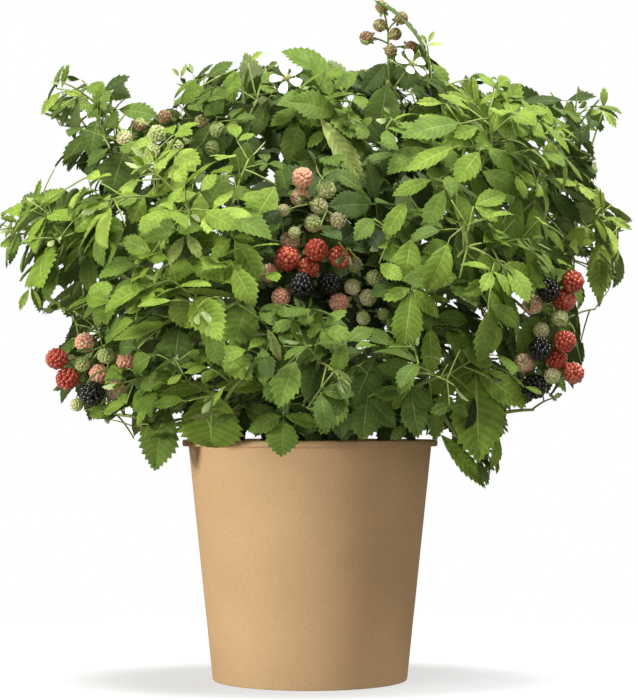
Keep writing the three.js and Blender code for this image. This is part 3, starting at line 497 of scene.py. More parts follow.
def leaflet_profile(share):
    """The half-width of a leaflet along its length: egg-shaped, with a drawn-out tip."""
    below = np.sin(math.pi / 2 * np.minimum(share / WIDEST_AT, 1) ** LEAFLET_SHAPE.base)
    beyond = np.clip((share - WIDEST_AT) / (1 - WIDEST_AT), 0, 1)
    return below * (1 - beyond ** LEAFLET_SHAPE.shoulder) ** LEAFLET_SHAPE.tip


def oval_profile(skew, bluntness):
    """The half-width of an oval blade: widest before its middle where the skew is under 1."""
    return lambda share: np.sin(math.pi * share ** skew) ** bluntness


def blade_pattern(stations, profile, lines, toothed=False):
    """The flat pattern of a blade, with points as shares of its length and of its half-width.

    The lines run from its base to its tip. The upper side has them all, with the rib between the middle
    two, and the under side has only the edges and the middle.
    """
    station = np.arange(1, stations)[:, None]
    share = station / stations
    tooth = (station % 2) if toothed else np.ones_like(station)
    upper = np.array(lines)[None]
    lower = np.array([-1.0, 0.0, 1.0])[None]
    lift_upper = np.where(np.abs(upper) <= RIB_SHARE, -RELIEF.groove, 0.0)
    between = (np.abs(upper) > RIB_SHARE) & (np.abs(upper) < 1)
    lift_upper = lift_upper + np.where(between, RELIEF.pleat * (1 - tooth) * toothed, 0.0)
    lift_lower = np.where(lower == 0, -RELIEF.thickness, 0.0) + 0 * tooth
    along, across, lift = [np.array([0.0, 1.0])], [np.zeros(2)], [np.zeros(2)]
    for line, raised in ((upper, lift_upper), (lower, lift_lower)):
        is_edge = np.abs(line) == 1
        slant = RELIEF.forward * np.abs(line) * 4 * share * (1 - share)
        point = RELIEF.tooth * tooth * is_edge * toothed / stations
        along.append((share + slant + point).ravel())
        edge = np.where(is_edge, np.where(tooth == 1, 1, RELIEF.notch), 1)
        across.append((line * profile(share) * edge).ravel())
        lift.append((raised + 0 * share).ravel())
    quads, kinds, fans, fan_kinds = [], [], [], []
    start = 2
    for line, is_lower in ((upper[0], False), (lower[0], True)):
        width = len(line)
        for i in range(width - 1):
            middle = abs(line[i]) <= RIB_SHARE and abs(line[i + 1]) <= RIB_SHARE
            kind = UNDER if is_lower else (RIB if middle else UPPER)
            column = start + i + width * np.arange(stations - 1)
            quad = np.stack([column[:-1], column[:-1] + 1, column[1:] + 1, column[1:]], 1)
            fan = np.array([[0, column[0] + 1, column[0]], [column[-1], column[-1] + 1, 1]])
            quads.append(quad[:, ::-1] if is_lower else quad)
            fans.append(fan[:, ::-1] if is_lower else fan)
            stretch = np.arange(len(quad))
            # Every other upper stretch is darker, partly the veins' pattern, partly painted pleat shade.
            kinds.append(np.where((kind == UPPER) & (stretch % 2 == 0) & toothed, VEIN_SHADE, kind))
            fan_kinds.append(np.full(len(fan), kind))
        start += width * (stations - 1)
    return SimpleNamespace(
        along=np.clip(np.concatenate(along), 0, 1), across=np.concatenate(across), lift=np.concatenate(lift),
        quads=np.concatenate(quads), kinds=np.concatenate(kinds),
        fans=np.concatenate(fans), fan_kinds=np.concatenate(fan_kinds),
    )


LEAF_LINES = (-1, -0.55, -RIB_SHARE, RIB_SHARE, 0.55, 1)
LEAFLET_PATTERNS = {
    teeth: blade_pattern(2 * teeth, leaflet_profile, LEAF_LINES, toothed=True) for teeth in (11, 8, 5)
}
PETAL_PATTERN = blade_pattern(7, oval_profile(1.15, 0.6), (-1, -0.5, 0.0, 0.5, 1))
SEPAL_PATTERN = blade_pattern(4, oval_profile(0.6, 0.8), (-1, 0.0, 1))

# A blade's row of numbers: base, heading, normal, length, half-width, arch, fold, curl and twist
ROW_SIZE = 15
LENGTH_COLUMN = 9
LEAST_ARCH = 1e-3


def blade_row(base, heading, normal, length, half_width, arch=0.0, fold=0.0, curl=0.0, twist=0.0):
    """The row of numbers that stands for a blade."""
    return np.concatenate([base, heading, normal, [length, half_width, arch, fold, curl, twist]])


def bent(rows, along, across, lift):
    """Where the points of flat patterns lie on bent blades, one row of points for each blade."""
    base, heading, normal = (rows[:, None, k:k + 3] for k in (0, 3, 6))
    length, half, arch, fold, curl, twist = (rows[:, k:k + 1] for k in range(LENGTH_COLUMN, ROW_SIZE))
    arch = np.where(np.abs(arch) < LEAST_ARCH, LEAST_ARCH, arch)
    side = np.cross(heading, normal)
    angle = arch * along
    forward = length * np.sin(angle) / arch
    down = length * (1 - np.cos(angle)) / arch
    raised = normal * np.cos(angle)[..., None] + heading * np.sin(angle)[..., None]
    lean = twist * along
    spread = half * across
    rise = half * (fold * np.abs(across) - curl * across ** 2) + lift * length
    sideways = spread * np.cos(lean) - rise * np.sin(lean)
    upward = spread * np.sin(lean) + rise * np.cos(lean)
    points = base + heading * forward[..., None] - normal * down[..., None]
    return points + side * sideways[..., None] + raised * upward[..., None]


def add_blades(pile, pattern, rows, slots):
    """Adds a bent blade for each row. Slots hold its upper, rib, under and vein-shade materials' numbers."""
    rows = np.array(rows)
    slots = np.array(slots)
    points = bent(rows, pattern.along, pattern.across, pattern.lift)
    count = points.shape[1]
    offsets = pile.count + np.arange(len(rows)) * count
    for faces, kinds in ((pattern.fans, pattern.fan_kinds), (pattern.quads, pattern.kinds)):
        numbers = (faces[None] + offsets[:, None, None]).reshape(-1, faces.shape[1])
        pile.add_faces(numbers, slots[:, kinds].ravel(), 0)
    pile.vertices.append(points.reshape(-1, 3))
    pile.count += len(rows) * count


# What is in the way of a new leaflet

# A leaflet's base, left edge, middle, right edge and tip stand for it, joined by these edges and faces.
MARKS_ALONG = np.array([0, WIDEST_AT + 0.05, WIDEST_AT, WIDEST_AT + 0.05, 1])
MARKS_ACROSS = np.array([0.0, -1.0, 0.0, 1.0, 0.0])
MARK_EDGES = np.array([(0, 1), (1, 4), (4, 3), (3, 0), (0, 2), (2, 4), (1, 2), (2, 3)])
MARK_FACES = np.array([(0, 2, 1), (0, 3, 2), (1, 2, 4), (2, 3, 4)])

# Where the sky shows through the crown: the middle of each gap and its radius, level with the axis
SKY_GAPS = [
    (-66.6, 461, 5.5), (-69.3, 446.7, 3), (-26.1, 470, 4), (-144, 476.4, 4), (-99.9, 443, 3),
    (-171, 327, 6), (-170, 414.3, 3), (-224, 370, 3), (128.7, 337.8, 4), (153.9, 327, 6.5),
    (185.4, 342.3, 3), (123.3, 295.5, 4), (164.7, 290, 4), (149.4, 268.5, 4), (127.8, 255, 5),
    (120.6, 221.7, 5), (99.9, 218, 6), (-54, 218, 4.5), (29.7, 516, 2), (73.8, 499, 2), (92.7, 519.5, 3),
    (246.6, 512.4, 7), (-193.5, 438.5, 5), (-203.4, 501.5, 5), (-165.6, 500.6, 4), (-146.7, 506, 4),
    (-116, 511.4, 4), (-191.7, 308, 6), (-171.9, 284.6, 5),
]
SKY_RING = [(0, 0)] + [(math.cos(a) * 0.75, math.sin(a) * 0.75) for a in np.arange(6) * math.pi / 3]


def seen_at(points):
    """Where points show from the viewpoint, as places level with the plant's axis: across and height."""
    away = points - VIEW.place
    share = -VIEW.place[1] / away[..., 1]
    return VIEW.place[[0, 2]] + away[..., [0, 2]] * share[..., None]


def in_outline(points):
    """Which points show within the crown's outline."""
    across, height = np.split(seen_at(points), 2, axis=1)
    start, end = OUTLINE, np.roll(OUTLINE, -1, axis=0)
    spans = (start[:, 1] > height) != (end[:, 1] > height)
    rise = np.where(end[:, 1] == start[:, 1], 1, end[:, 1] - start[:, 1])
    edge = start[:, 0] + (end[:, 0] - start[:, 0]) * (height - start[:, 1]) / rise
    return (spans & (across < edge)).sum(1) % 2 == 1


NEARLY_FLAT = 1e-9


def crossing(starts, ends, triangles):
    """Whether any of the line segments passes through any of the triangles."""
    corner = triangles[None, :, 0]
    first = triangles[None, :, 1] - corner
    second = triangles[None, :, 2] - corner
    ray = (ends - starts)[:, None]
    p = np.cross(ray, second)
    scale = (first * p).sum(2)
    scale = np.where(np.abs(scale) < NEARLY_FLAT, NEARLY_FLAT, scale)
    offset = starts[:, None] - corner
    u = (offset * p).sum(2) / scale
    q = np.cross(offset, first)
    v = (ray * q).sum(2) / scale
    along = (second * q).sum(2) / scale
    return bool(((u > 0) & (v > 0) & (u + v < 1) & (along > 0) & (along < 1)).any())


def covered(triangles, points):
    """Which flat triangles cover which flat points."""
    corners = [triangles[:, None, k] for k in range(3)]
    turns = []
    for k in range(3):
        edge = corners[(k + 1) % 3] - corners[k]
        offset = points[None] - corners[k]
        turns.append(edge[..., 0] * offset[..., 1] - edge[..., 1] * offset[..., 0])
    turns = np.array(turns)
    return (turns >= 0).all(0) | (turns <= 0).all(0)


# The points of a leading leaf that nothing may hide, and how far before it they lie
GUARDS_ALONG = np.repeat(np.arange(1, 10) / 10, 5)
GUARDS_ACROSS = np.tile([-0.85, -0.42, 0.0, 0.42, 0.85], 9)
GUARD_GAP = 4


def face_points(middle, radius, angles):
    """The middle of a round thing and points about it, as the front shows them."""
    ring = [middle + np.array([math.cos(angle), 0, math.sin(angle)]) * radius for angle in angles]
    return np.array([middle, *ring])


class Rows:
    """A growing table of numbers."""

    FIRST_SIZE = 256

    def __init__(self, *shape):
        self.table = np.zeros((self.FIRST_SIZE, *shape))
        self.count = 0

    def add(self, row):
        if self.count == len(self.table):
            self.table = np.concatenate([self.table, np.zeros_like(self.table)])
        self.table[self.count] = row
        self.count += 1

    @property
    def rows(self):
        return self.table[:self.count]


def middle_and_radius(points):
    """The middle of some points, and how far the furthest is from it."""
    middle = points.mean(0)
    return middle, np.linalg.norm(points - middle, axis=1).max()


class Crowd:
    """The leaflets, limbs and fruit that are there, and the lines of sight that stay open."""

    # How far a limb's middle may lie from a leaflet that it touches, and what a berry keeps clear
    LIMB_REACH = 30
    BALL_GAP = 1

    def __init__(self):
        self.marks = Rows(len(MARKS_ALONG), 3)
        self.spheres = Rows(4)
        self.limbs = Rows(2, 3)
        self.balls = Rows(4)
        self.open_points = np.array([
            (x + dx * r, z + dz * r) for x, z, r in SKY_GAPS for dx, dz in SKY_RING
        ])
        self.open_depths = np.full(len(self.open_points), np.inf)

    def add_leaflets(self, marks):
        """Leaflets that take up room from now on."""
        for points in marks:
            middle, radius = middle_and_radius(points)
            self.marks.add(points)
            self.spheres.add((*middle, radius))

    def add_limb(self, points):
        """A limb that no leaflet may pass through."""
        for ends in zip(points[:-1], points[1:]):
            self.limbs.add(ends)

    def add_ball(self, middle, radius):
        """A berry or a blossom that no leaflet may touch."""
        self.balls.add((*middle, radius))

    def keep_open(self, points, depth):
        """Nothing nearer to the viewpoint than the depth, or than each point's own, may cover the points."""
        self.open_points = np.concatenate([self.open_points, seen_at(points)])
        self.open_depths = np.concatenate([self.open_depths, np.broadcast_to(depth, len(points))])

    def is_free(self, points):
        """Whether a leaflet with these marks touches nothing and blocks no line of sight."""
        middle, radius = middle_and_radius(points)
        return not (
            self.hides(points) or self.hits_ball(points) or self.hits_limb(middle, radius, points)
            or self.hits_leaflet(middle, radius, points)
        )

    def hides(self, points):
        """Whether the leaflet covers a point that is kept open."""
        flat = seen_at(points)
        spots = self.open_points[self.open_depths > points[:, 1].min()]
        spots = spots[((spots > flat.min(0)) & (spots < flat.max(0))).all(1)]
        return len(spots) > 0 and covered(flat[MARK_FACES], spots).any()

    def hits_ball(self, points):
        """Whether the leaflet touches a berry or a blossom."""
        samples = np.concatenate([points, points[MARK_EDGES].mean(1)])
        balls = self.balls.rows
        gaps = np.linalg.norm(samples[:, None] - balls[None, :, :3], axis=2) - balls[None, :, 3]
        return bool((gaps < self.BALL_GAP).any())

    def hits_limb(self, middle, radius, points):
        """Whether a limb passes through the leaflet."""
        limbs = self.limbs.rows
        limbs = limbs[np.linalg.norm(limbs.mean(1) - middle, axis=1) < radius + self.LIMB_REACH]
        return len(limbs) > 0 and crossing(limbs[:, 0], limbs[:, 1], points[MARK_FACES])

    def hits_leaflet(self, middle, radius, points):
        """Whether the leaflet passes through another."""
        spheres = self.spheres.rows
        near = np.linalg.norm(spheres[:, :3] - middle, axis=1) < spheres[:, 3] + radius
        others = self.marks.rows[near]
        if len(others) == 0:
            return False
        edges = points[MARK_EDGES]
        other_edges = others[:, MARK_EDGES].reshape(-1, 2, 3)
        return (crossing(edges[:, 0], edges[:, 1], others[:, MARK_FACES].reshape(-1, 3, 3))
                or crossing(other_edges[:, 0], other_edges[:, 1], points[MARK_FACES]))


# The canes

STOOL_FOOT = SOIL.top + CLEARANCE
STOOL_TOP = STOOL_FOOT + STOOL_PROFILE[-1][0]


def entry_point(mass, start):
    """Where a cane ends, on the side of its mass that faces its start."""
    inward = start - mass.centre
    distance = np.linalg.norm(inward)
    reach = mass.reach.min()
    depth = min(reach * ENTRY.reach_share, distance * ENTRY.distance_share)
    return mass.centre + inward / distance * depth - UP * reach * ENTRY.drop_share


def cane_bend(start, direction, end):
    """A curve that leaves its start in the direction."""
    middle = start + direction * np.linalg.norm(end - start) * CANE.bend
    return Bend(start, middle, end)


def plan_canes():
    """The curve and the first radius of each mass's cane, by the mass's name."""
    canes = {}
    for mass in MASSES:
        if mass.whorl:
            whorl = WHORLS[mass.whorl]
            outward = outward_from(mass.centre)
            start = np.array([0, 0, STOOL_TOP - whorl.depth]) + outward * whorl.offset
            steepness = math.radians(whorl.steepness)
            direction = outward * math.cos(steepness) + UP * math.sin(steepness)
            curve = cane_bend(start, direction, entry_point(mass, start))
            canes[mass.name] = SimpleNamespace(curve=curve, radius=CANE.base_radius)
        else:
            parent = canes[mass.stem].curve
            start = parent.at(mass.at)
            end = entry_point(mass, start)
            direction = unit(unit(end - start) + parent.heading(mass.at) * CANE.lean)
            curve = cane_bend(start, direction, end)
            canes[mass.name] = SimpleNamespace(curve=curve, radius=CANE.lateral_radius)
    return canes


# Leaves

# The shades of leaves, young to deep, and the tone of the ribs and undersides that go with each. The
# darker shades, dealt to leaves deep in a mass, stand partly for older leaves and partly for painted shade.
SHADES = "yfbgmdk"
TONE_FOR = dict(zip(SHADES, (0, 0, 0, 1, 1, 2, 2)))
TONES = 3

# Above this height all leaves are young and short, and no shoot ends but the leading ones
YOUNG_ABOVE = 553
LONGEST_YOUNG = 26

# A leaf's leaflets are how far each is turned from its heading, its share of the length, and its stub.
LATERAL_TURN = math.radians(74)
LOWER_TURN = math.radians(128)
LEAF = SimpleNamespace(
    fan=((0, 1.0, 0.13), (LATERAL_TURN, 0.84, 0.03), (-LATERAL_TURN, 0.84, 0.03)),
    lower_pair=((LOWER_TURN, 0.6, 0.02), (-LOWER_TURN, 0.6, 0.02)), lower_pair_share=0.22,
    turns=(0, 0.4, -0.4), sizes=(1, 0.78), carriers_tried=3, shortest_stalk=9, adult_length=64,
    teeth_for=((46, 11), (27, 8), (0, 5)), curl=(0.05, 0.25), twist=(-0.35, 0.35),
)
ADULT = SimpleNamespace(tilt=(0.0, 0.45), width=(0.5, 0.66), arch=(0.25, 0.95), fold=(0.1, 0.34))
YOUNG = SimpleNamespace(tilt=(-0.5, 0.0), width=(0.4, 0.5), arch=(-0.3, 0.4), fold=(0.45, 0.9))
STALK = SimpleNamespace(radius=0.75, least_share=0.45, rise=0.06, flare=1.25, rings=5, sides=5)
LEAFLET_STALK = SimpleNamespace(shortest=2, radius_share=0.8, overlap=2, sides=4)
SHADE_DRIFT = SimpleNamespace(up=0.7, by_place=0.5, by_chance=0.24)
LEADING_LEAF = SimpleNamespace(
    first_stub=3, stub=0.6, face_front=0.85, face_up=0.5, young_width=13, young_fold=0.5, fold=0.16,
    curl=0.12, twist=0.2,
)
LEADING_SHOOT = SimpleNamespace(
    longest_leaf=42, leaf_share=0.5, hub_share=1.15, end_gap=2, face_outward=0.6, width=0.6, arch=0.1,
    carrier=0.98, leaves=(0.35, 0.55, 0.72, 0.87), leaf_length=44, least_end=0.3,
)
LEAFY_STRETCH = SimpleNamespace(
    side_along=0.1, side_front=0.05, taper=0.35, sizes=(0.85, 1.15), forward=0.7, stalk=12,
    stalk_share=0.32, face_up=0.7, face_outward=0.5, face_along=0.2, square_to_aim=0.7,
)

# A finer shoot ends in a bud only when its last leaf stands past bud_beyond.
FINER_SHOOT = SimpleNamespace(
    count=5, lengths=(40, 54), fall=1.6, turn=1.9, outward=0.7, up=0.3, reach=(0.72, 0.95), shrink=0.9,
    shortest=18, arch=0.12, leaves=(0.4, 0.62, 0.82, 0.97), bud_beyond=0.5, radius=1.1, tip_radius=0.7,
    leaf_shares=(0.5, 0.8), sides=5, steps=5,
)
BUD = SimpleNamespace(leaflets=3, face_front=0.3, turn=0.5, spread=0.35, lengths=(12, 18))
SHELLS = (
    SimpleNamespace(count=14, hub_share=(0.76, 0.92), lengths=(42, 60), phase=0.9),
    SimpleNamespace(count=8, hub_share=(0.25, 0.4), lengths=(38, 50), phase=2.1),
)
SHELL_LEAF = SimpleNamespace(
    angle=(-0.3, 0.3), face_up=(0.05, 0.6), face_outward=(0.6, 1.1), head_down=(0.4, 1.5)
)


def teeth_for(length):
    """How many teeth each side of a leaflet has."""
    return next(teeth for least, teeth in LEAF.teeth_for if length > least)


def slots_of(shade):
    """The places of a shade's upper, rib, under and vein-shade materials in leaf_materials."""
    upper, tone = SHADES.index(shade), TONE_FOR[shade]
    rib = len(SHADES) + tone
    return upper, rib, rib + TONES, len(SHADES) + 2 * TONES + upper


class Growth:
    """One mass of foliage as it grows from the tip of its cane."""

    def __init__(self, number, cane, crowd):
        self.mass = MASSES[number]
        self.number = number
        self.crowd = crowd
        self.cane = cane
        self.random = seeded_random(SEED.first + number * SEED.step)
        self.chance = np.random.default_rng(SEED.finer + number)
        self.carriers = []
        self.blades = {teeth: [] for teeth in LEAFLET_PATTERNS}
        self.slots = {teeth: [] for teeth in LEAFLET_PATTERNS}
        self.twigs = []
        self.berries = []
        self.flowers = []
        along = cane.curve.heading(1)
        entry = cane.curve.at(1) + along * CLEARANCE
        fork = self.mass.centre + (entry - self.mass.centre) * TWIG.fork_depth
        bend = entry + along * np.linalg.norm(entry - fork) * TWIG.stem_bend
        self.stem = Bend(entry, bend, fork)
        self.add_twig(self.stem, CANE.tip_radius, TWIG.shoot_radius, TWIG.stem_carriers)
        branches = len(self.mass.tips) + len(self.mass.fruit) + len(self.mass.blossoms) + self.mass.shoots
        low, high = TWIG.forks
        self.forks = [self.stem.at(low + (high - low) * (k + 1) / branches) for k in range(branches)]

    def vary(self, middle_and_spread):
        """A draw of the solids' own chance."""
        middle, spread = middle_and_spread
        return middle + (self.random() * 2 - 1) * spread

    def owns(self, points, slack=0.0):
        """Whether points lie in the mass's own part of the crown, or that little beyond its border."""
        lowest = self.mass.lowest
        if (points < CROWN.low).any() or (points > CROWN.high).any() or (points[:, 2] < lowest).any():
            return False
        inner = points * OUTLINE_SHARE + points.mean(0) * (1 - OUTLINE_SHARE)
        radius = np.hypot(points[:, 0], points[:, 1])
        in_tub = (points[:, 2] < TUB.height + TUB_CLEARANCE) & (radius < TUB.rim_radius + TUB_CLEARANCE)
        if not (in_outline(inner) | in_tub).all():
            return False
        by_wall = in_tub & (radius > TUB.top_radius - TUB.wall - TUB_CLEARANCE)
        in_compost = in_tub & (points[:, 2] < SOIL.top + SOIL.crumb_rise + TUB_CLEARANCE)
        if (by_wall | in_compost).any():
            return False
        power = ((points[:, None] - CENTRES[None]) ** 2).sum(2) - MEAN_REACHES ** 2
        apart = np.linalg.norm(CENTRES - self.mass.centre, axis=1)
        apart[self.number] = 1
        margin = (power - power[:, self.number:self.number + 1]) / (2 * apart)
        margin[:, self.number] = np.inf
        return bool((margin > MASS_GAP / 2 - slack).all())

    def add_twig(self, curve, radius, tip_radius, shares=(), sides=TWIG.sides, steps=TWIG.steps, end=1.0):
        """A twig along a curve up to its end share, which may carry leaves at the shares named."""
        line = np.linspace(0, 1, steps + 1)
        points = curve.at(line * end)
        self.twigs.append(tube(points, radius + (tip_radius - radius) * line, sides))
        self.crowd.add_limb(points)
        self.carriers.extend(curve.at(share) for share in shares if share < end)

    def shade_at(self, hub):
        """A shade of the mass's row, by how far out, up and forward the leaf stands, and by chance.

        Leaves further in and lower get darker shades, partly for their age and partly as painted shade.
        """
        offset = (hub - self.mass.centre) / self.mass.reach
        outer = offset @ unit(outward_from(self.mass.centre) + UP * SHADE_DRIFT.up)
        share = 0.5 - SHADE_DRIFT.by_place * outer + self.chance.normal(0, SHADE_DRIFT.by_chance)
        shades = self.mass.shades
        return shades[int(np.clip(share * len(shades), 0, len(shades) - 1))]

    def fan_rows(self, hub, facing, heading, look):
        """The leaflets of a leaf that have room, each at the larger size that fits."""
        rows, marks = [], []
        if hub[2] > YOUNG_ABOVE and look.length > LONGEST_YOUNG:
            return rows, marks
        for turn, share, stub in look.fan:
            direction = turned(heading, facing, turn)
            tilt = -math.copysign(look.tilt, turn) if turn else 0.0
            normal = turned(facing, heading, -tilt)
            direction = flattened(direction, normal)
            for size in LEAF.sizes:
                length = look.length * share * size
                base = hub + direction * length * stub
                half = length * look.width / 2
                row = blade_row(base, direction, normal, length, half, look.arch, look.fold, look.curl,
                                look.twist)
                points = bent(row[None], MARKS_ALONG, MARKS_ACROSS, 0)[0]
                if self.owns(points, look.slack) and self.crowd.is_free(points):
                    rows.append(row)
                    marks.append(points)
                    break
        return rows, marks

    def look_of(self, length, young=False, slack=BORDER_SLACK, width=None):
        """How a leaf is shaped, with some chance. A young one is a single folded leaflet."""
        draw = self.chance.uniform
        ranges = YOUNG if young else ADULT
        fan = LEAF.fan[:1] if young else LEAF.fan
        if not young and draw() < LEAF.lower_pair_share:
            fan = fan + LEAF.lower_pair
        return SimpleNamespace(
            length=length, fan=fan, slack=slack, tilt=draw(*ranges.tilt), width=width or draw(*ranges.width),
            arch=draw(*ranges.arch), fold=draw(*ranges.fold), curl=draw(*LEAF.curl), twist=draw(*LEAF.twist),
        )

    def add_leaf(self, carrier, hub, facing, heading, look, shade):
        """Opens the leaf on the carrier, with those of its leaflets that have room."""
        best = ([], [])
        for turn in LEAF.turns:
            found = self.fan_rows(hub, facing, turned(heading, facing, turn), look)
            if len(found[0]) > len(best[0]):
                best = found
            if len(best[0]) == len(look.fan):
                break
        rows, marks = best
        if not rows:
            return False
        self.crowd.add_leaflets(marks)
        for row in rows:
            self.add_blade(row, slots_of(shade), hub)
        self.add_stalk(carrier, hub, look.length)
        return True

    def add_leaflet_stalk(self, hub, row):
        """A short stalk from the leaf's hub, where the leaflet stands away from it."""
        base, heading = row[0:3], row[3:6]
        if np.linalg.norm(base - hub) > LEAFLET_STALK.shortest:
            share = min(1, row[LENGTH_COLUMN] / LEAF.adult_length)
            radius = STALK.radius * share * LEAFLET_STALK.radius_share
            radii = [radius, radius * LEAFLET_STALK.radius_share]
            points = [hub, base + heading * LEAFLET_STALK.overlap]
            self.twigs.append(tube(points, radii, LEAFLET_STALK.sides))

    def add_stalk(self, carrier, hub, length):
        """The leaf's own stalk, from its carrier to its hub."""
        distance = np.linalg.norm(hub - carrier)
        share = STALK.least_share + (1 - STALK.least_share) * min(1, length / LEAF.adult_length)
        radius = STALK.radius * share
        middle = (carrier + hub) / 2 + UP * distance * STALK.rise
        points = Bend(carrier, middle, hub).at(np.linspace(0, 1, STALK.rings))
        self.twigs.append(tube(points, np.linspace(radius * STALK.flare, radius, STALK.rings), STALK.sides))

    def grow_leaf(self, hub, normal, heading, look):
        """Opens a leaf at the hub on the nearest carrier that suits it."""
        shade = self.shade_at(hub)
        carriers = np.array(self.carriers)
        distances = np.linalg.norm(carriers - hub, axis=1)
        order = [k for k in np.argsort(distances) if distances[k] > LEAF.shortest_stalk]
        for k in order[:LEAF.carriers_tried]:
            stalk = unit(hub - carriers[k])
            facing = unit(normal - stalk * (normal @ stalk) * SPIRAL_LEAF.square_to_stalk)
            aim = flattened(heading + stalk, facing)
            if self.add_leaf(carriers[k], hub, facing, aim, look, shade):
                return True
        return False

    def spiral_leaf(self, index, count, hub_share, draws, look):
        """One of the leaves that stand evenly round the middle of the mass, in a spiral."""
        rise = 1 - 2 * (index + 0.5) / count
        angle = index * GOLDEN_ANGLE + draws.angle
        level = math.sqrt(1 - rise * rise)
        bearing = np.array([math.cos(angle) * level, math.sin(angle) * level, rise])
        bearing = unit(bearing + outward_from(self.mass.centre) * SPIRAL_LEAF.outward)
        hub = self.mass.centre + bearing * self.mass.reach * hub_share
        outward = outward_from(hub)
        normal = unit(bearing * SPIRAL_LEAF.face_along + UP * draws.face_up + outward * draws.face_outward)
        heading = bearing + outward * SPIRAL_LEAF.head_outward - UP * draws.head_down
        return self.grow_leaf(hub, normal, heading, look)

    def grow_main_leaves(self):
        """The leaves of the part's solids, in their places and order."""
        for index in range(self.mass.leaves):
            angle = self.vary(SPIRAL_LEAF.angle)
            hub_share = self.vary(SPIRAL_LEAF.hub_share)
            draws = SimpleNamespace(
                angle=angle, face_up=self.vary(SPIRAL_LEAF.face_up),
                face_outward=self.vary(SPIRAL_LEAF.face_outward), head_down=SPIRAL_LEAF.head_down,
            )
            length = LEAF.adult_length * self.vary(SPIRAL_LEAF.length_share)
            look = self.look_of(length, slack=BORDER_SLACK / 2)
            self.spiral_leaf(index, self.mass.leaves, hub_share, draws, look)

    def grow_shell(self, shell):
        """Finer leaves round the middle of the mass, further out or in than the main ones."""
        draw = self.chance.uniform
        for index in range(shell.count):
            draws = SimpleNamespace(
                angle=shell.phase + draw(*SHELL_LEAF.angle), face_up=draw(*SHELL_LEAF.face_up),
                face_outward=draw(*SHELL_LEAF.face_outward), head_down=draw(*SHELL_LEAF.head_down),
            )
            look = self.look_of(draw(*shell.lengths))
            self.spiral_leaf(index, shell.count, draw(*shell.hub_share), draws, look)

    def grow_leading_leaf(self, leaf):
        """A leaf that stands out, with nothing in front of it."""
        carriers = np.array(self.carriers)
        carrier = carriers[np.argmin(np.linalg.norm(carriers - leaf.hub, axis=1))]
        marks = []
        for order, leaflet in enumerate(leaf.leaflets):
            heading = unit(leaflet.tip - leaf.hub)
            base = leaf.hub + heading * (LEADING_LEAF.stub if order else LEADING_LEAF.first_stub)
            normal = flattened(FRONT * LEADING_LEAF.face_front + UP * LEADING_LEAF.face_up, heading)
            length = np.linalg.norm(leaflet.tip - base)
            is_young = leaflet.width < LEADING_LEAF.young_width
            fold = LEADING_LEAF.young_fold if is_young else LEADING_LEAF.fold
            twist = self.chance.uniform(-LEADING_LEAF.twist, LEADING_LEAF.twist)
            row = blade_row(base, heading, normal, length, leaflet.width / 2, arch=leaflet.arch,
                            fold=fold, curl=LEADING_LEAF.curl, twist=twist)
            marks.append(bent(row[None], MARKS_ALONG, MARKS_ACROSS, 0)[0])
            self.add_blade(row, slots_of(leaf.shade), leaf.hub)
            face = bent(row[None], GUARDS_ALONG, GUARDS_ACROSS * leaflet_profile(GUARDS_ALONG), 0)[0]
            self.crowd.keep_open(face, face[:, 1] - GUARD_GAP)
        self.crowd.add_leaflets(marks)
        self.add_stalk(carrier, leaf.hub, LEAF.adult_length)

    def add_blade(self, row, slots, hub):
        """Keeps a leaflet's row with those that have as many teeth, and gives it its stalk."""
        teeth = teeth_for(row[LENGTH_COLUMN])
        self.blades[teeth].append(row)
        self.slots[teeth].append(slots)
        self.add_leaflet_stalk(hub, row)

    def grow_lead_shoots(self):
        """Leading shoots end in small leaves at the named tips of the crown's outline."""
        for fork, tip in zip(self.forks, self.mass.tips):
            tip = np.array(tip, float)
            distance = np.linalg.norm(tip - fork)
            heading = unit(tip - fork)
            length = min(LEADING_SHOOT.longest_leaf, distance * LEADING_SHOOT.leaf_share)
            hub = tip - heading * length * LEADING_SHOOT.hub_share
            middle = (fork + hub) / 2 + UP * TWIG.arch * distance
            curve = Bend(fork, middle, hub - heading * LEADING_SHOOT.end_gap)
            look = self.look_of(length, width=LEADING_SHOOT.width)
            look.arch = LEADING_SHOOT.arch
            look.twist = 0.0
            normal = flattened(UP + outward_from(tip) * LEADING_SHOOT.face_outward, heading)
            shade = self.young_shade()
            has_tip = self.add_leaf(curve.at(LEADING_SHOOT.carrier), hub, normal, heading, look, shade)
            end = self.leafy_stretch(curve, LEADING_SHOOT.leaves, LEADING_SHOOT.leaf_length)
            self.add_twig(curve, TWIG.shoot_radius, TWIG.shoot_tip, TWIG.leaf_shares[:3],
                          end=1.0 if has_tip else max(end, LEADING_SHOOT.least_end))

    def young_shade(self):
        """One of the mass's two outermost shades."""
        return self.mass.shades[int(self.chance.integers(0, 2))]

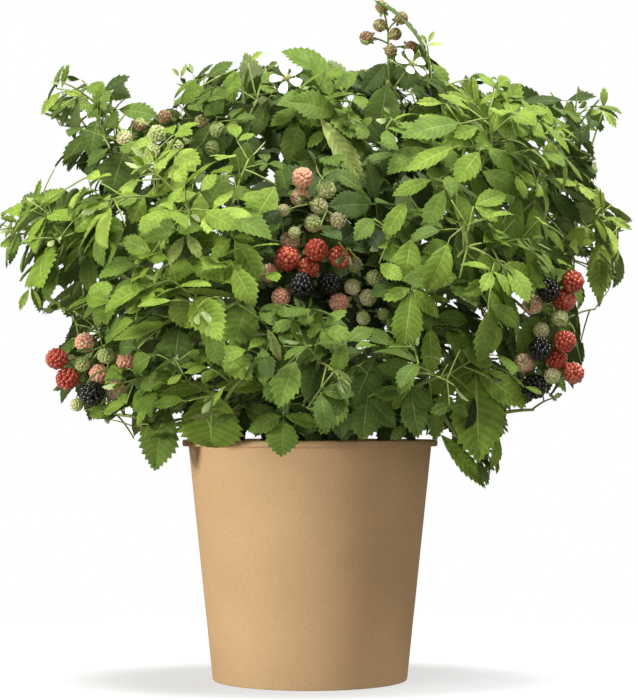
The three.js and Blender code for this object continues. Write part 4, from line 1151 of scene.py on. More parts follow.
    def leafy_stretch(self, curve, shares, length):
        """Leaves along a shoot, each a golden angle round it from the last, smaller towards its end.

        Gives the share of the shoot at which the last one stands, or 0.
        """
        last = 0.0
        turn = self.chance.uniform(0, 2 * math.pi)
        for order, share in enumerate(shares):
            heading = curve.heading(share)
            start = curve.at(share)
            side = UP + heading * LEAFY_STRETCH.side_along + FRONT * LEAFY_STRETCH.side_front
            side = turned(flattened(side, heading), heading, turn + order * GOLDEN_ANGLE)
            size = length * (1 - LEAFY_STRETCH.taper * share) * self.chance.uniform(*LEAFY_STRETCH.sizes)
            aim = unit(side + heading * LEAFY_STRETCH.forward)
            hub = start + aim * (LEAFY_STRETCH.stalk + size * LEAFY_STRETCH.stalk_share)
            normal = unit(UP * LEAFY_STRETCH.face_up + outward_from(hub) * LEAFY_STRETCH.face_outward
                          + heading * LEAFY_STRETCH.face_along)
            look = self.look_of(size)
            facing = unit(normal - aim * (normal @ aim) * LEAFY_STRETCH.square_to_aim)
            if self.add_leaf(start, hub, facing, flattened(aim, facing), look, self.shade_at(hub)):
                last = share
        return last

    def grow_side_shoots(self):
        """The other shoots fan out evenly from the stem, as in the part's solids."""
        first = len(self.mass.tips) + len(self.mass.fruit) + len(self.mass.blossoms)
        for index in range(self.mass.shoots):
            fork = self.forks[first + index]
            rise = self.vary(SIDE_SHOOT.rise)
            reach = self.mass.reach * self.vary(SIDE_SHOOT.reach)
            angle = index * GOLDEN_ANGLE
            bearing = np.array([math.cos(angle), math.sin(angle), rise])
            bearing = unit(bearing + outward_from(self.mass.centre) * SIDE_SHOOT.outward)
            end = self.mass.centre + bearing * reach
            end[2] = min(end[2], YOUNG_ABOVE)
            middle = (fork + end) / 2 + UP * TWIG.arch * np.linalg.norm(end - fork)
            curve = Bend(fork, middle, end)
            self.add_twig(curve, TWIG.shoot_radius, TWIG.shoot_tip, TWIG.leaf_shares)

    def grow_finer_shoots(self):
        """Thin leafy twigs that spring from the others and end in a bud, nearer the crown's face."""
        sources = np.array(self.carriers)
        for index in range(FINER_SHOOT.count):
            rise = 1 - FINER_SHOOT.fall * (index + 0.5) / FINER_SHOOT.count
            angle = index * GOLDEN_ANGLE + FINER_SHOOT.turn
            level = math.sqrt(1 - min(1, rise * rise))
            bearing = np.array([math.cos(angle) * level, math.sin(angle) * level, rise])
            outward = outward_from(self.mass.centre)
            bearing = unit(bearing + outward * FINER_SHOOT.outward + UP * FINER_SHOOT.up)
            tip = self.mass.centre + bearing * self.mass.reach * self.chance.uniform(*FINER_SHOOT.reach)
            while not self.owns(tip[None], BORDER_SLACK / 2):
                tip = self.mass.centre + (tip - self.mass.centre) * FINER_SHOOT.shrink
            start = sources[np.argmin(np.linalg.norm(sources - tip, axis=1))]
            distance = np.linalg.norm(tip - start)
            if distance < FINER_SHOOT.shortest or tip[2] > YOUNG_ABOVE:
                continue
            curve = Bend(start, (start + tip) / 2 + UP * FINER_SHOOT.arch * distance, tip)
            end = self.leafy_stretch(curve, FINER_SHOOT.leaves, self.chance.uniform(*FINER_SHOOT.lengths))
            if end > FINER_SHOOT.bud_beyond and self.add_bud(curve):
                end = 1.0
            if end:
                self.add_twig(curve, FINER_SHOOT.radius, FINER_SHOOT.tip_radius, FINER_SHOOT.leaf_shares,
                              sides=FINER_SHOOT.sides, steps=FINER_SHOOT.steps, end=end)

    def add_bud(self, curve):
        """A few small folded leaflets at the end of a shoot."""
        end = curve.at(1.0)
        heading = curve.heading(1.0)
        side = flattened(UP + FRONT * BUD.face_front, heading)
        shade = self.young_shade()
        opened = 0
        for k in range(BUD.leaflets):
            around = turned(side, heading, k * 2 * math.pi / BUD.leaflets + BUD.turn)
            aim = unit(heading + around * BUD.spread)
            look = self.look_of(self.chance.uniform(*BUD.lengths), young=True)
            opened += self.add_leaf(end - heading, end + aim, flattened(around, aim), aim, look, shade)
        return opened

    def grow_trusses(self):
        """Berries packed in a spiral on the front of each truss, each on its own stalk."""
        for order, truss in enumerate(self.mass.fruit):
            fork = self.forks[len(self.mass.tips) + order]
            reach = UP * BERRY.spacing * truss.spread[1]
            back = truss.centre - FRONT * BERRY.stalk_length
            top, foot = back + reach, back - reach
            near, far = sorted((top, foot), key=lambda end: np.linalg.norm(end - fork))
            self.add_twig(straight(fork, near), TWIG.shoot_radius, BERRY.truss_radii[0])
            self.add_twig(straight(near, far), *BERRY.truss_radii)
            for k, ripeness in enumerate(truss.ripeness):
                angle = k * GOLDEN_ANGLE
                distance = BERRY.spacing * math.sqrt(k + BERRY.first_turn)
                place = truss.centre + np.array([math.cos(angle) * distance * truss.spread[0], 0, 0])
                place = place + UP * math.sin(angle) * distance * truss.spread[1]
                share = np.clip((top[2] - place[2]) / (top[2] - foot[2]), *BERRY.root_shares)
                self.place_berry(top + (foot - top) * share, place, ripeness)

    def place_berry(self, root, place, ripeness):
        """Finds room for a berry at the place, or a little before or behind it."""
        radius = RIPENESS[ripeness].radius * self.chance.uniform(*BERRY.sizes)
        for shift in BERRY.shifts:
            middle = place + FRONT * shift
            balls = self.crowd.balls.rows
            gaps = np.linalg.norm(balls[:, :3] - middle, axis=1) - balls[:, 3] - radius
            if (gaps > -BERRY.overlap).all():
                self.crowd.add_ball(middle, radius)
                self.berries.append((root, middle, radius, ripeness))
                face = face_points(middle, radius * BERRY.face_share, BERRY.face_angles)
                self.crowd.keep_open(face, middle[1])
                return

    def grow_blossoms(self):
        """Open blossoms, each on its own stalk, with nothing in front of them."""
        first = len(self.mass.tips) + len(self.mass.fruit)
        for order, place in enumerate(self.mass.blossoms):
            place = np.array(place, float)
            facing = unit(outward_from(place) + UP)
            end = place - facing * BLOSSOM.stalk_length
            self.add_twig(straight(self.forks[first + order], end), TWIG.shoot_radius, BLOSSOM.stalk_radius)
            self.add_twig(straight(end, place - facing * BLOSSOM.neck_gap), *BLOSSOM.neck_radii)
            self.flowers.append((place, unit(facing + FRONT * BLOSSOM.face_front)))
            self.crowd.add_ball(place, BLOSSOM.radius)
            face = face_points(place, BLOSSOM.radius, BLOSSOM.face_angles)
            self.crowd.keep_open(face, place[1])


# Fruit and blossom

FRUIT_SHADES = ("black", "umber", "red", "coral", "blush", "cream", "green", "olive", "core", "calyx")


def ripe(radius, *mix):
    """A stage of ripeness: the berry's radius and the shades that its drupelets are dealt."""
    return SimpleNamespace(radius=radius, mix=[FRUIT_SHADES.index(shade) for shade in mix])


RIPENESS = {
    "k": ripe(10.8, "black", "black", "black"),
    "r": ripe(10.4, "red", "red", "red", "coral"),
    "p": ripe(8.8, "blush", "blush", "blush", "cream"),
    "g": ripe(7.8, "green", "green", "cream"),
    "n": ripe(6.3, "olive", "green", "olive", "umber"),
    "s": ripe(6.0, "green", "green", "cream"),
}
DRUPELETS = 60

# A berry's parts as shares of its radius, and how its ripeness is dealt to its drupelets
DRUPELET = SimpleNamespace(radius=0.25, sizes=(0.9, 1.08), depths=(0.95, 1.03), core=0.74, droop=4)
BLUSH = SimpleNamespace(by_chance=0.6, by_side=0.7, side_from=0.3, share=0.6)
CALYX = SimpleNamespace(
    height=0.9, sepals=5, stub=1.2, droop=(0.1, 0.9), length=0.85, half_width=0.24, arch=0.3, fold=0.3
)
BERRY_STALK = SimpleNamespace(rise=3, overlap=2, rings=5, radii=(0.75, 1.0), sides=5)


def octasphere():
    """A small ball of 32 triangles: an octahedron with each side cut in four."""
    vertices = [sign * axis for axis in np.eye(3) for sign in (1, -1)]
    found, triangles = {}, []

    def halfway(a, b):
        key = (min(a, b), max(a, b))
        if key not in found:
            found[key] = len(vertices)
            vertices.append(unit(vertices[a] + vertices[b]))
        return found[key]

    for x, y, z in ((x, y, z) for x in (0, 1) for y in (2, 3) for z in (4, 5)):
        a, b, c = (x, z, y) if (x + y + z) % 2 else (x, y, z)
        ab, bc, ca = halfway(a, b), halfway(b, c), halfway(c, a)
        triangles += [(a, ab, ca), (ab, b, bc), (ca, bc, c), (ab, bc, ca)]
    return np.array(vertices), np.array(triangles)


BALL_VERTICES, BALL_TRIANGLES = octasphere()


def add_balls(pile, centres, radii, slots):
    """Adds a small ball at each centre. Radii and slots are one number for all, or one for each."""
    centres = np.atleast_2d(centres)
    radii = np.broadcast_to(np.reshape(radii, (-1, 1, 1)), (len(centres), 1, 1))
    points = centres[:, None] + BALL_VERTICES[None] * radii
    offsets = np.arange(len(centres)) * len(BALL_VERTICES)
    triangles = (BALL_TRIANGLES[None] + offsets[:, None, None]).reshape(-1, 3)
    slots = np.repeat(np.broadcast_to(slots, len(centres)), len(BALL_TRIANGLES))
    pile.add(points.reshape(-1, 3), triangles, slots)


def frame_about(axis):
    """Two headings square to an axis and to each other."""
    first = unit(np.cross(axis, np.eye(3)[np.argmin(np.abs(axis))]))
    return first, np.cross(axis, first)


def spiral_points(count):
    """Points spread evenly over a ball of radius 1, from its top down."""
    rise = 1 - 2 * (np.arange(count) + 0.5) / count
    angle = np.arange(count) * GOLDEN_ANGLE
    level = np.sqrt(1 - rise ** 2)
    return np.stack([np.cos(angle) * level, np.sin(angle) * level, rise], 1)


SPIRAL = spiral_points(DRUPELETS)


def add_berry(pile, chance, root, place, radius, ripeness):
    """A berry of drupelets round a dark core that stands as painted shade between them, with a calyx at its
    stalk's end.
    """
    axis = unit(place - root - UP * DRUPELET.droop)
    first, second = frame_about(axis)
    turn = np.stack([first, second, axis * BERRY.stretch])
    drupelet = radius * DRUPELET.radius
    bumps = SPIRAL * chance.uniform(*DRUPELET.depths, (DRUPELETS, 1)) * (radius - drupelet)
    mix = RIPENESS[ripeness].mix
    blotch = chance.integers(0, len(mix))
    side = unit(chance.normal(size=3))
    on_side = SPIRAL @ side > BLUSH.side_from
    pick = BLUSH.by_chance * chance.random(DRUPELETS) + BLUSH.by_side * on_side
    slots = np.array(mix)[(blotch + (pick * len(mix) * BLUSH.share).astype(int)) % len(mix)]
    radii = drupelet * chance.uniform(*DRUPELET.sizes, DRUPELETS)
    add_balls(pile, place + bumps @ turn, radii, slots)
    # The dark core shows in the gaps between the drupelets: painted shade for their crevices.
    add_balls(pile, place, radius * DRUPELET.core, FRUIT_SHADES.index("core"))
    calyx = place - axis * radius * BERRY.stretch * CALYX.height
    rows = []
    for k in range(CALYX.sepals):
        angle = k * 2 * math.pi / CALYX.sepals + radius
        around = first * math.cos(angle) + second * math.sin(angle)
        aim = unit(around - axis * chance.uniform(*CALYX.droop))
        rows.append(blade_row(calyx + around * CALYX.stub, aim, flattened(axis, aim), radius * CALYX.length,
                              radius * CALYX.half_width, arch=CALYX.arch, fold=CALYX.fold))
    green = FRUIT_SHADES.index("calyx")
    add_blades(pile, SEPAL_PATTERN, rows, [(green,) * 4] * len(rows))
    stalk = Bend(root, (root + calyx) / 2 + UP * BERRY_STALK.rise, calyx + axis * BERRY_STALK.overlap)
    points = stalk.at(np.linspace(0, 1, BERRY_STALK.rings))
    radii = np.linspace(*BERRY_STALK.radii, BERRY_STALK.rings)
    pile.add_limb(tube(points, radii, BERRY_STALK.sides), green)


FLOWER_SHADES = ("petal", "stamen", "anther", "carpel", "calyx")
PETAL_SLOT, STAMEN_SLOT, ANTHER_SLOT, CARPEL_SLOT, CALYX_SLOT = range(len(FLOWER_SHADES))
PETAL = SimpleNamespace(
    count=5, turn=0.3, jitter=0.08, open=(0.12, 0.3), stub=1.8, lengths=(14, 15.5), half_width=4.2,
    arch=(0.1, 0.5), fold=0.12, twist=0.3,
)
SEPAL = SimpleNamespace(stub=1.5, droop=0.5, length=7.5, half_width=1.8, arch=0.4, fold=0.2)
STAMEN = SimpleNamespace(
    count=26, nearest=1.0, spread=1.4, rows=3, lean=(0.35, 0.9), lengths=(3.4, 4.8), radii=(0.16, 0.12),
    anther=0.42,
)
FLOWER_MIDDLE = SimpleNamespace(
    radius=2.6, depth=0.6, carpels=24, carpel_radius=0.55, cone_radius=1.5, cone_height=1.2
)


def add_flower(pile, chance, place, facing):
    """An open blossom: five petals, a ring of stamens and a green middle."""
    first, second = frame_about(facing)
    petals, sepals = [], []
    for k in range(PETAL.count):
        angle = k * 2 * math.pi / PETAL.count + PETAL.turn + chance.uniform(-PETAL.jitter, PETAL.jitter)
        around = first * math.cos(angle) + second * math.sin(angle)
        aim = unit(around + facing * chance.uniform(*PETAL.open))
        normal = flattened(facing, aim)
        petals.append(blade_row(
            place + around * PETAL.stub, aim, normal, chance.uniform(*PETAL.lengths), PETAL.half_width,
            arch=chance.uniform(*PETAL.arch), fold=PETAL.fold, twist=chance.uniform(-PETAL.twist, PETAL.twist)
        ))
        between = turned(aim, facing, math.pi / PETAL.count)
        low = unit(between - facing * SEPAL.droop)
        sepals.append(blade_row(
            place + between * SEPAL.stub - facing, low, flattened(facing, low), SEPAL.length,
            SEPAL.half_width, arch=SEPAL.arch, fold=SEPAL.fold
        ))
    add_blades(pile, PETAL_PATTERN, petals, [(PETAL_SLOT,) * 4] * len(petals))
    add_blades(pile, SEPAL_PATTERN, sepals, [(CALYX_SLOT,) * 4] * len(sepals))
    add_balls(pile, place - facing * FLOWER_MIDDLE.depth, FLOWER_MIDDLE.radius, CALYX_SLOT)
    for k in range(STAMEN.count):
        angle = k * GOLDEN_ANGLE
        around = first * math.cos(angle) + second * math.sin(angle)
        root = place + around * (STAMEN.nearest + STAMEN.spread * (k % STAMEN.rows) / STAMEN.rows)
        aim = unit(facing + around * chance.uniform(*STAMEN.lean))
        end = root + aim * chance.uniform(*STAMEN.lengths)
        pile.add_limb(tube([root, end], STAMEN.radii, 3), STAMEN_SLOT)
        add_balls(pile, end, STAMEN.anther, ANTHER_SLOT)
    crown = place + facing * FLOWER_MIDDLE.cone_height
    cone = SPIRAL[:FLOWER_MIDDLE.carpels] * FLOWER_MIDDLE.cone_radius
    turn = np.stack([first, second, facing * FLOWER_MIDDLE.cone_height])
    add_balls(pile, crown + cone @ turn, FLOWER_MIDDLE.carpel_radius, CARPEL_SLOT)


# Materials


def linear(colour):
    """A screen colour of three numbers from 0 to 255, as the linear one that shaders take."""
    shares = np.array(colour) / 255
    low, high = shares / 12.92, ((shares + 0.055) / 1.055) ** 2.4
    return (*np.where(shares <= 0.04045, low, high), 1.0)


def scaled(colour, share):
    """A linear colour made lighter or darker."""
    return tuple(min(1.0, value * share) for value in colour[:3]) + (1.0,)


def add_node(tree, kind, inputs=None, **settings):
    """A shader node with these settings and these values on its inputs."""
    node = tree.nodes.new(f"ShaderNode{kind}")
    for name, setting in settings.items():
        setattr(node, name, setting)
    for name, value in (inputs or {}).items():
        node.inputs[name].default_value = value
    return node


def new_material(name, inputs):
    """A material with these values on its shader's inputs, its nodes, its shader and its own place."""
    material = bpy.data.materials.new(name)
    material.use_nodes = True
    tree = material.node_tree
    shader = tree.nodes["Principled BSDF"]
    for socket, value in inputs.items():
        shader.inputs[socket].default_value = value
    place = add_node(tree, "TexCoord").outputs["Object"]
    return material, tree, shader, place


def add_noise(tree, place, inputs):
    """A noise of the place."""
    noise_node = add_node(tree, "TexNoise", inputs)
    tree.links.new(place, noise_node.inputs["Vector"])
    return noise_node.outputs["Fac"]


def add_ramp(tree, share, stops):
    """The colour of a share between two stops, each a position and a colour."""
    ramp = add_node(tree, "ValToRGB")
    for element, (position, colour) in zip(ramp.color_ramp.elements, stops):
        element.position = position
        element.color = colour
    tree.links.new(share, ramp.inputs["Fac"])
    return ramp.outputs["Color"]


PATCHES = SimpleNamespace(detail=3, low=0.32, high=0.68)
BUMPS = SimpleNamespace(detail=4, strength=0.8)


def finish(roughness, specular, patches, bump=None, coat=0.0):
    """How a surface shines, how its colour drifts in patches, and its relief.

    "patches" is how many there are in a metre and how far the colour drifts, and "bump" is how many bumps
    there are in a metre and how high they stand, in metres.
    """
    return SimpleNamespace(roughness=roughness, specular=specular, patches=patches, bump=bump, coat=coat)


LEAF_FINISH = finish(0.6, 0.25, (90, 0.2), (800, 0.0009))
RIB_FINISH = finish(0.5, 0.4, (90, 0.08))
UNDER_FINISH = finish(0.75, 0.25, (90, 0.1), (700, 0.0005))
TWIG_FINISH = finish(0.5, 0.4, (60, 0.15))
CANE_FINISH = finish(0.55, 0.4, (40, 0.2), (900, 0.0004))
BARK_FINISH = finish(0.85, 0.3, (120, 0.35), (500, 0.001))
COMPOST_FINISH = finish(0.95, 0.2, (160, 0.4), (700, 0.0012))
KRAFT_FINISH = finish(0.72, 0.3, (14, 0.05), (1400, 0.0001))
FLOWER_FINISH = finish(0.6, 0.3, (300, 0.04))
DULL_FRUIT = finish(0.5, 0.5, (220, 0.12), coat=0.05)
GLOSSY_FRUIT = {
    "black": finish(0.25, 0.5, (220, 0.12), coat=0.25), "red": finish(0.28, 0.5, (220, 0.12), coat=0.3),
    "coral": finish(0.3, 0.5, (220, 0.12), coat=0.3),
}


def surface(name, colour, look):
    """A material of a colour and a finish."""
    base = linear(colour)
    material, tree, shader, place = new_material(name, {
        "Base Color": base, "Roughness": look.roughness, "Specular IOR Level": look.specular,
        "Coat Weight": look.coat,
    })
    density, drift = look.patches
    pattern = add_noise(tree, place, {"Scale": density, "Detail": PATCHES.detail})
    stops = ((PATCHES.low, scaled(base, 1 - drift)), (PATCHES.high, scaled(base, 1 + drift)))
    tree.links.new(add_ramp(tree, pattern, stops), shader.inputs["Base Color"])
    if look.bump:
        density, height = look.bump
        grain = add_noise(tree, place, {"Scale": density, "Detail": BUMPS.detail})
        relief = add_node(tree, "Bump", {"Strength": BUMPS.strength, "Distance": height})
        tree.links.new(grain, relief.inputs["Height"])
        tree.links.new(relief.outputs["Normal"], shader.inputs["Normal"])
    return material


# The leaves' greens, young to deep: the darker ones are partly painted shade for leaves deep in the crown.
LEAF_COLOURS = {
    "y": (182, 198, 110), "f": (152, 177, 72), "b": (128, 156, 54), "g": (108, 135, 48),
    "m": (88, 112, 42), "d": (67, 88, 34), "k": (46, 60, 23),
}
RIB_COLOURS = ((162, 186, 84), (124, 148, 66), (92, 114, 50))
# How much darker every other stretch is: partly the veins' pattern, partly painted shade on the pleats.
VEIN_SHADE_DEPTH = 0.92
UNDER_COLOURS = ((188, 202, 138), (146, 164, 104), (112, 132, 82))


def leaf_materials():
    """The upper sides' shades, then the ribs, the undersides and the darker stretches between the veins:
    partly the veins' pattern and partly painted shade on one slope of each pleat.
    """
    return [
        *(surface(f"leaf_{shade}", colour, LEAF_FINISH) for shade, colour in LEAF_COLOURS.items()),
        *(surface(f"rib_{k}", colour, RIB_FINISH) for k, colour in enumerate(RIB_COLOURS)),
        *(surface(f"under_{k}", colour, UNDER_FINISH) for k, colour in enumerate(UNDER_COLOURS)),
        *(surface(f"vein_{shade}", np.array(colour) * VEIN_SHADE_DEPTH, LEAF_FINISH)
          for shade, colour in LEAF_COLOURS.items()),
    ]


WOOD_COLOURS = {
    "compost": (64, 46, 32), "bark": (122, 98, 66), "cane": (128, 138, 78), "twig": (150, 168, 84),
}
# The core's dark brown is painted shade for the gaps between the drupelets.
FRUIT_COLOURS = {
    "black": (22, 22, 17), "umber": (134, 96, 66), "red": (180, 68, 46), "coral": (208, 110, 80),
    "blush": (228, 166, 134), "cream": (214, 204, 158), "green": (176, 188, 116),
    "olive": (156, 132, 88), "core": (56, 46, 30), "calyx": (140, 158, 92),
}

FLOWER_COLOURS = {
    "petal": (232, 234, 226), "stamen": (232, 236, 190), "anther": (150, 132, 80),
    "carpel": (170, 186, 92), "calyx": (140, 158, 92),
}


def fruit_materials():
    """One for each of the fruit's shades."""
    return [surface(f"fruit_{shade}", FRUIT_COLOURS[shade], GLOSSY_FRUIT.get(shade, DULL_FRUIT))
            for shade in FRUIT_SHADES]


def flower_materials():
    """One for each of the blossom's shades."""
    return [surface(f"flower_{shade}", FLOWER_COLOURS[shade], FLOWER_FINISH)
            for shade in FLOWER_SHADES]


KRAFT = SimpleNamespace(
    colour=(212, 174, 128), fibres={"Scale": 620, "Detail": 6, "Roughness": 0.7},
    stops=((0.35, (0.8, 0.77, 0.72, 1)), (0.62, (1, 1, 1, 1))), depth=0.7,
)


def kraft_material():
    """Brown kraft board: fine fibres over faint clouds."""
    material = surface("kraft_board", KRAFT.colour, KRAFT_FINISH)
    tree = material.node_tree
    base_colour = tree.nodes["Principled BSDF"].inputs["Base Color"]
    clouds = base_colour.links[0].from_socket
    place = add_node(tree, "TexCoord").outputs["Object"]
    fibres = add_ramp(tree, add_noise(tree, place, KRAFT.fibres), KRAFT.stops)
    mix = add_node(tree, "Mix", data_type="RGBA", blend_type="MULTIPLY")
    mix.inputs["Factor"].default_value = KRAFT.depth
    tree.links.new(clouds, mix.inputs["A"])
    tree.links.new(fibres, mix.inputs["B"])
    tree.links.new(mix.outputs["Result"], base_colour)
    return material


# The tub, the compost and the wood

# The smallest ring of a turned shape, where it meets the axis
AXIS_RADIUS = 0.01


def lathe(profile, segments):
    """Vertices and faces of a profile of radius and height turned about the plant's axis."""
    profile = np.array(profile, float)
    angles = np.arange(segments) / segments * 2 * math.pi - math.pi / 2
    radii, heights = profile[:, 0, None], profile[:, 1, None]
    x, y = radii * np.cos(angles), radii * np.sin(angles)
    vertices = np.stack([x, y, np.broadcast_to(heights, x.shape)], 2).reshape(-1, 3)
    ring, nxt = np.arange(segments), (np.arange(segments) + 1) % segments
    rows = [np.stack([ring, nxt, nxt + segments, ring + segments], 1) + k * segments
            for k in range(len(profile) - 1)]
    return vertices, np.concatenate(rows)


def tub_radius_at(height):
    """The radius of the wall's outside."""
    return TUB.foot_radius + (TUB.top_radius - TUB.foot_radius) * height / TUB.height


# Edges of the tub that turn more than this stay crisp
SHARP_ANGLE = math.radians(35)
TUB_SIDES = 240

# Where the tub's outline turns: at its foot, and round its rim as steps in from the rim's or the wall's
# radius and down from the top. Then how many rings its stretches have.
TUB_EDGES = SimpleNamespace(
    under_base=0.8, inner_foot=0.4, outer_foot=0.6, wall_from=2, inside_from=1, floor_gap=3,
    rim=((1.2, 5.9), (0, 5), (0, 1.4), (0.9, 0.2), (2.4, 0)), rim_inside=((0, 0.4), (2, 2)),
)
TUB_RINGS = SimpleNamespace(wall=40, inside=20, floor=8)
SEAM = SimpleNamespace(height=0.35, half_width=0.05, steepness=60, reach=0.1, lowest=1, depth=0.5)


def tub_profile():
    """Half of the tub cut through its axis, from its foot up, over the rim and down again inside."""
    edges = TUB_EDGES
    under_rim = TUB.height - TUB.rim_height
    inner_foot = TUB.foot_radius - TUB.wall
    under_base = TUB.base_thickness * edges.under_base
    foot = [(inner_foot, under_base), (inner_foot, edges.inner_foot), (inner_foot + edges.inner_foot, 0),
            (TUB.foot_radius - edges.outer_foot, 0), (TUB.foot_radius, edges.outer_foot)]
    rim = [(TUB.rim_radius - inward, TUB.height - down) for inward, down in edges.rim]
    rim += [(TUB.top_radius - inward, TUB.height - down) for inward, down in edges.rim_inside]
    up = np.linspace(edges.wall_from, under_rim, TUB_RINGS.wall)
    down = np.linspace(under_rim + edges.inside_from, TUB.base_thickness, TUB_RINGS.inside)
    inward = np.linspace(inner_foot - edges.floor_gap, AXIS_RADIUS, TUB_RINGS.floor)
    wall = [(tub_radius_at(z), z) for z in up]
    inside = [(tub_radius_at(z) - TUB.wall, z) for z in down]
    floor = [(radius, TUB.base_thickness) for radius in inward]
    return [*foot, *wall, *rim, *inside, *floor, (AXIS_RADIUS, under_base), foot[0]]


def seam_lift(vertices, radius):
    """How far the board's seam stands out, up the back of the wall's outside."""
    angles, heights = np.arctan2(vertices[:, 1], vertices[:, 0]), vertices[:, 2]
    away = np.abs(np.angle(np.exp(1j * (angles - math.pi / 2))))
    on_wall = (heights > SEAM.lowest) & (heights < TUB.height - TUB.rim_height)
    is_outer = on_wall & (away < SEAM.reach) & (radius > tub_radius_at(heights) - SEAM.depth)
    return is_outer * SEAM.height * np.clip(1 - (away - SEAM.half_width) * SEAM.steepness, 0, 1)


def make_tub():
    """The tub's wall with its rolled rim, its folded foot and recessed base, and its seam at the back."""
    vertices, quads = lathe(tub_profile(), TUB_SIDES)
    radius = np.hypot(vertices[:, 0], vertices[:, 1])
    vertices[:, :2] *= (1 + seam_lift(vertices, radius) / np.maximum(radius, 1))[:, None]
    pile = Pile()
    pile.add(vertices, quads)
    piece = pile.make("tub", [kraft_material()])
    piece.data.set_sharp_from_angle(angle=SHARP_ANGLE)
    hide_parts("pot_wall", "pot_base")
    return piece


# How the compost is cut into rings, and its lumps: their noise is its roughness, fineness and layers.
COMPOST = SimpleNamespace(
    rings=36, sides=96, depth=40, lump_size=9, lump_height=2.6, lump_noise=(0.8, 2.2, 4)
)
CRUMB = SimpleNamespace(count=420, reach=0.96, sizes=(0.8, 2.6), stretch=(0.6, 1.2), roughness=(0.8, 1.15))


def make_compost():
    """Crumbly compost: a lumpy round bed with loose crumbs on it."""
    pile = Pile()
    radius = tub_radius_at(SOIL.top) - TUB.wall - 1
    level, foot = SOIL.top - SOIL.crumb_rise, SOIL.top - COMPOST.depth
    rings = [(radius * k / COMPOST.rings, level) for k in range(COMPOST.rings, 0, -1)]
    vertices, quads = lathe([(tub_radius_at(foot) - TUB.wall - 1, foot), *rings], COMPOST.sides)
    for point in vertices[COMPOST.sides:]:
        lump = noise.fractal(Vector(point[:3]) / COMPOST.lump_size, *COMPOST.lump_noise)
        near = 1 - min(1, math.hypot(point[0], point[1]) / radius)
        point[2] += COMPOST.lump_height * lump + SOIL.crumb_rise * near
    pile.add(vertices, quads)
    chance = np.random.default_rng(SEED.finer - 1)
    for _ in range(CRUMB.count):
        distance = radius * CRUMB.reach * math.sqrt(chance.random())
        angle = chance.uniform(0, 2 * math.pi)
        size = chance.uniform(*CRUMB.sizes)
        level = SOIL.top - SOIL.crumb_rise * distance / radius
        place = np.array([math.cos(angle) * distance, math.sin(angle) * distance, level])
        stretch = chance.uniform(*CRUMB.stretch, 3)
        shape = BALL_VERTICES * size * stretch * chance.uniform(*CRUMB.roughness, (len(BALL_VERTICES), 1))
        pile.add(place + shape, BALL_TRIANGLES)
    piece = pile.make("compost", [surface("compost", WOOD_COLOURS["compost"], COMPOST_FINISH)])
    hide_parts("soil")
    return piece


# How the stool's bark is furrowed: its steps and sides, how fine the noise is, and how deep it cuts
BARK = SimpleNamespace(
    steps=44, sides=96, around=5, along=30, wide=(1.4, 2.4), fine=(5, 0.8), full_from=10, dome=0.2
)


def make_stool():
    """The woody stool, with furrowed bark."""
    heights, radii = zip(*STOOL_PROFILE)
    levels = np.linspace(0, heights[-1], BARK.steps)
    profile = [(np.interp(level, heights, radii), STOOL_FOOT + level) for level in levels]
    profile.append((AXIS_RADIUS, STOOL_TOP + BARK.dome))
    vertices, quads = lathe(profile, BARK.sides)
    for point in vertices:
        angle = math.atan2(point[1], point[0])
        spot = Vector((math.cos(angle) * BARK.around, math.sin(angle) * BARK.around, point[2] / BARK.along))
        depths = [noise.noise(spot * fineness) for fineness in (BARK.wide[0], BARK.fine[0])]
        furrow = abs(depths[0]) * BARK.wide[1] + BARK.fine[1] * depths[1]
        radius = math.hypot(point[0], point[1])
        point[:2] *= (radius - furrow * min(1, radius / BARK.full_from)) / max(radius, AXIS_RADIUS)
    pile = Pile()
    pile.add(vertices, quads)
    piece = pile.make("stool", [surface("bark", WOOD_COLOURS["bark"], BARK_FINISH)])
    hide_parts("stem")
    return piece


# How a cane is cut into steps and ribbed, and its swollen joints: how far apart, how thick and how long
CANE_RELIEF = SimpleNamespace(
    step=7, fewest_steps=8, sides=15, ribs=5, rib_depth=0.07, joint_gap=26, joint_swell=0.12,
    joint_length=0.12,
)


def make_canes(canes):
    """The canes, ribbed and a little swollen at their joints."""
    relief = CANE_RELIEF
    pile = Pile()
    for cane in canes.values():
        steps = max(relief.fewest_steps, int(cane.curve.length / relief.step))
        line = np.linspace(0, 1, steps + 1)
        radii = cane.radius + (CANE.tip_radius - cane.radius) * line
        phase = line * cane.curve.length / relief.joint_gap
        swell = np.exp(-((phase % 1 - 0.5) / relief.joint_length) ** 2)
        radii = radii * (1 + relief.joint_swell * swell)
        pile.add_limb(tube(cane.curve.at(line), radii, relief.sides, relief.ribs, relief.rib_depth))
    piece = pile.make("canes", [surface("green_cane", WOOD_COLOURS["cane"], CANE_FINISH)])
    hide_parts(*[f"cane_{mass.name}" for mass in MASSES])
    return piece


# The whole plant

# The most triangles that a piece of foliage has
MOST_TRIANGLES = 185000


def make_foliage(growths):
    """The leaves, joined mass by mass into pieces kept under MOST_TRIANGLES triangles.
    The leaves, joined into pieces of a size that the export keeps whole.
    """
    groups = [(Pile(), [])]
    for growth in growths:
        leaves = Pile()
        for teeth, rows in growth.blades.items():
            if rows:
                add_blades(leaves, LEAFLET_PATTERNS[teeth], rows, growth.slots[teeth])
        if groups[-1][0].triangles() + leaves.triangles() > MOST_TRIANGLES:
            groups.append((Pile(), []))
        pile, names = groups[-1]
        pile.merge(leaves)
        names.append(growth.mass.name)
    materials = leaf_materials()
    made = []
    for number, (pile, names) in enumerate(groups, start=1):
        piece = pile.make(f"foliage_{number}", materials)
        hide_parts(*[f"leaves_{name}" for name in names])
        made.append(piece)
    return made


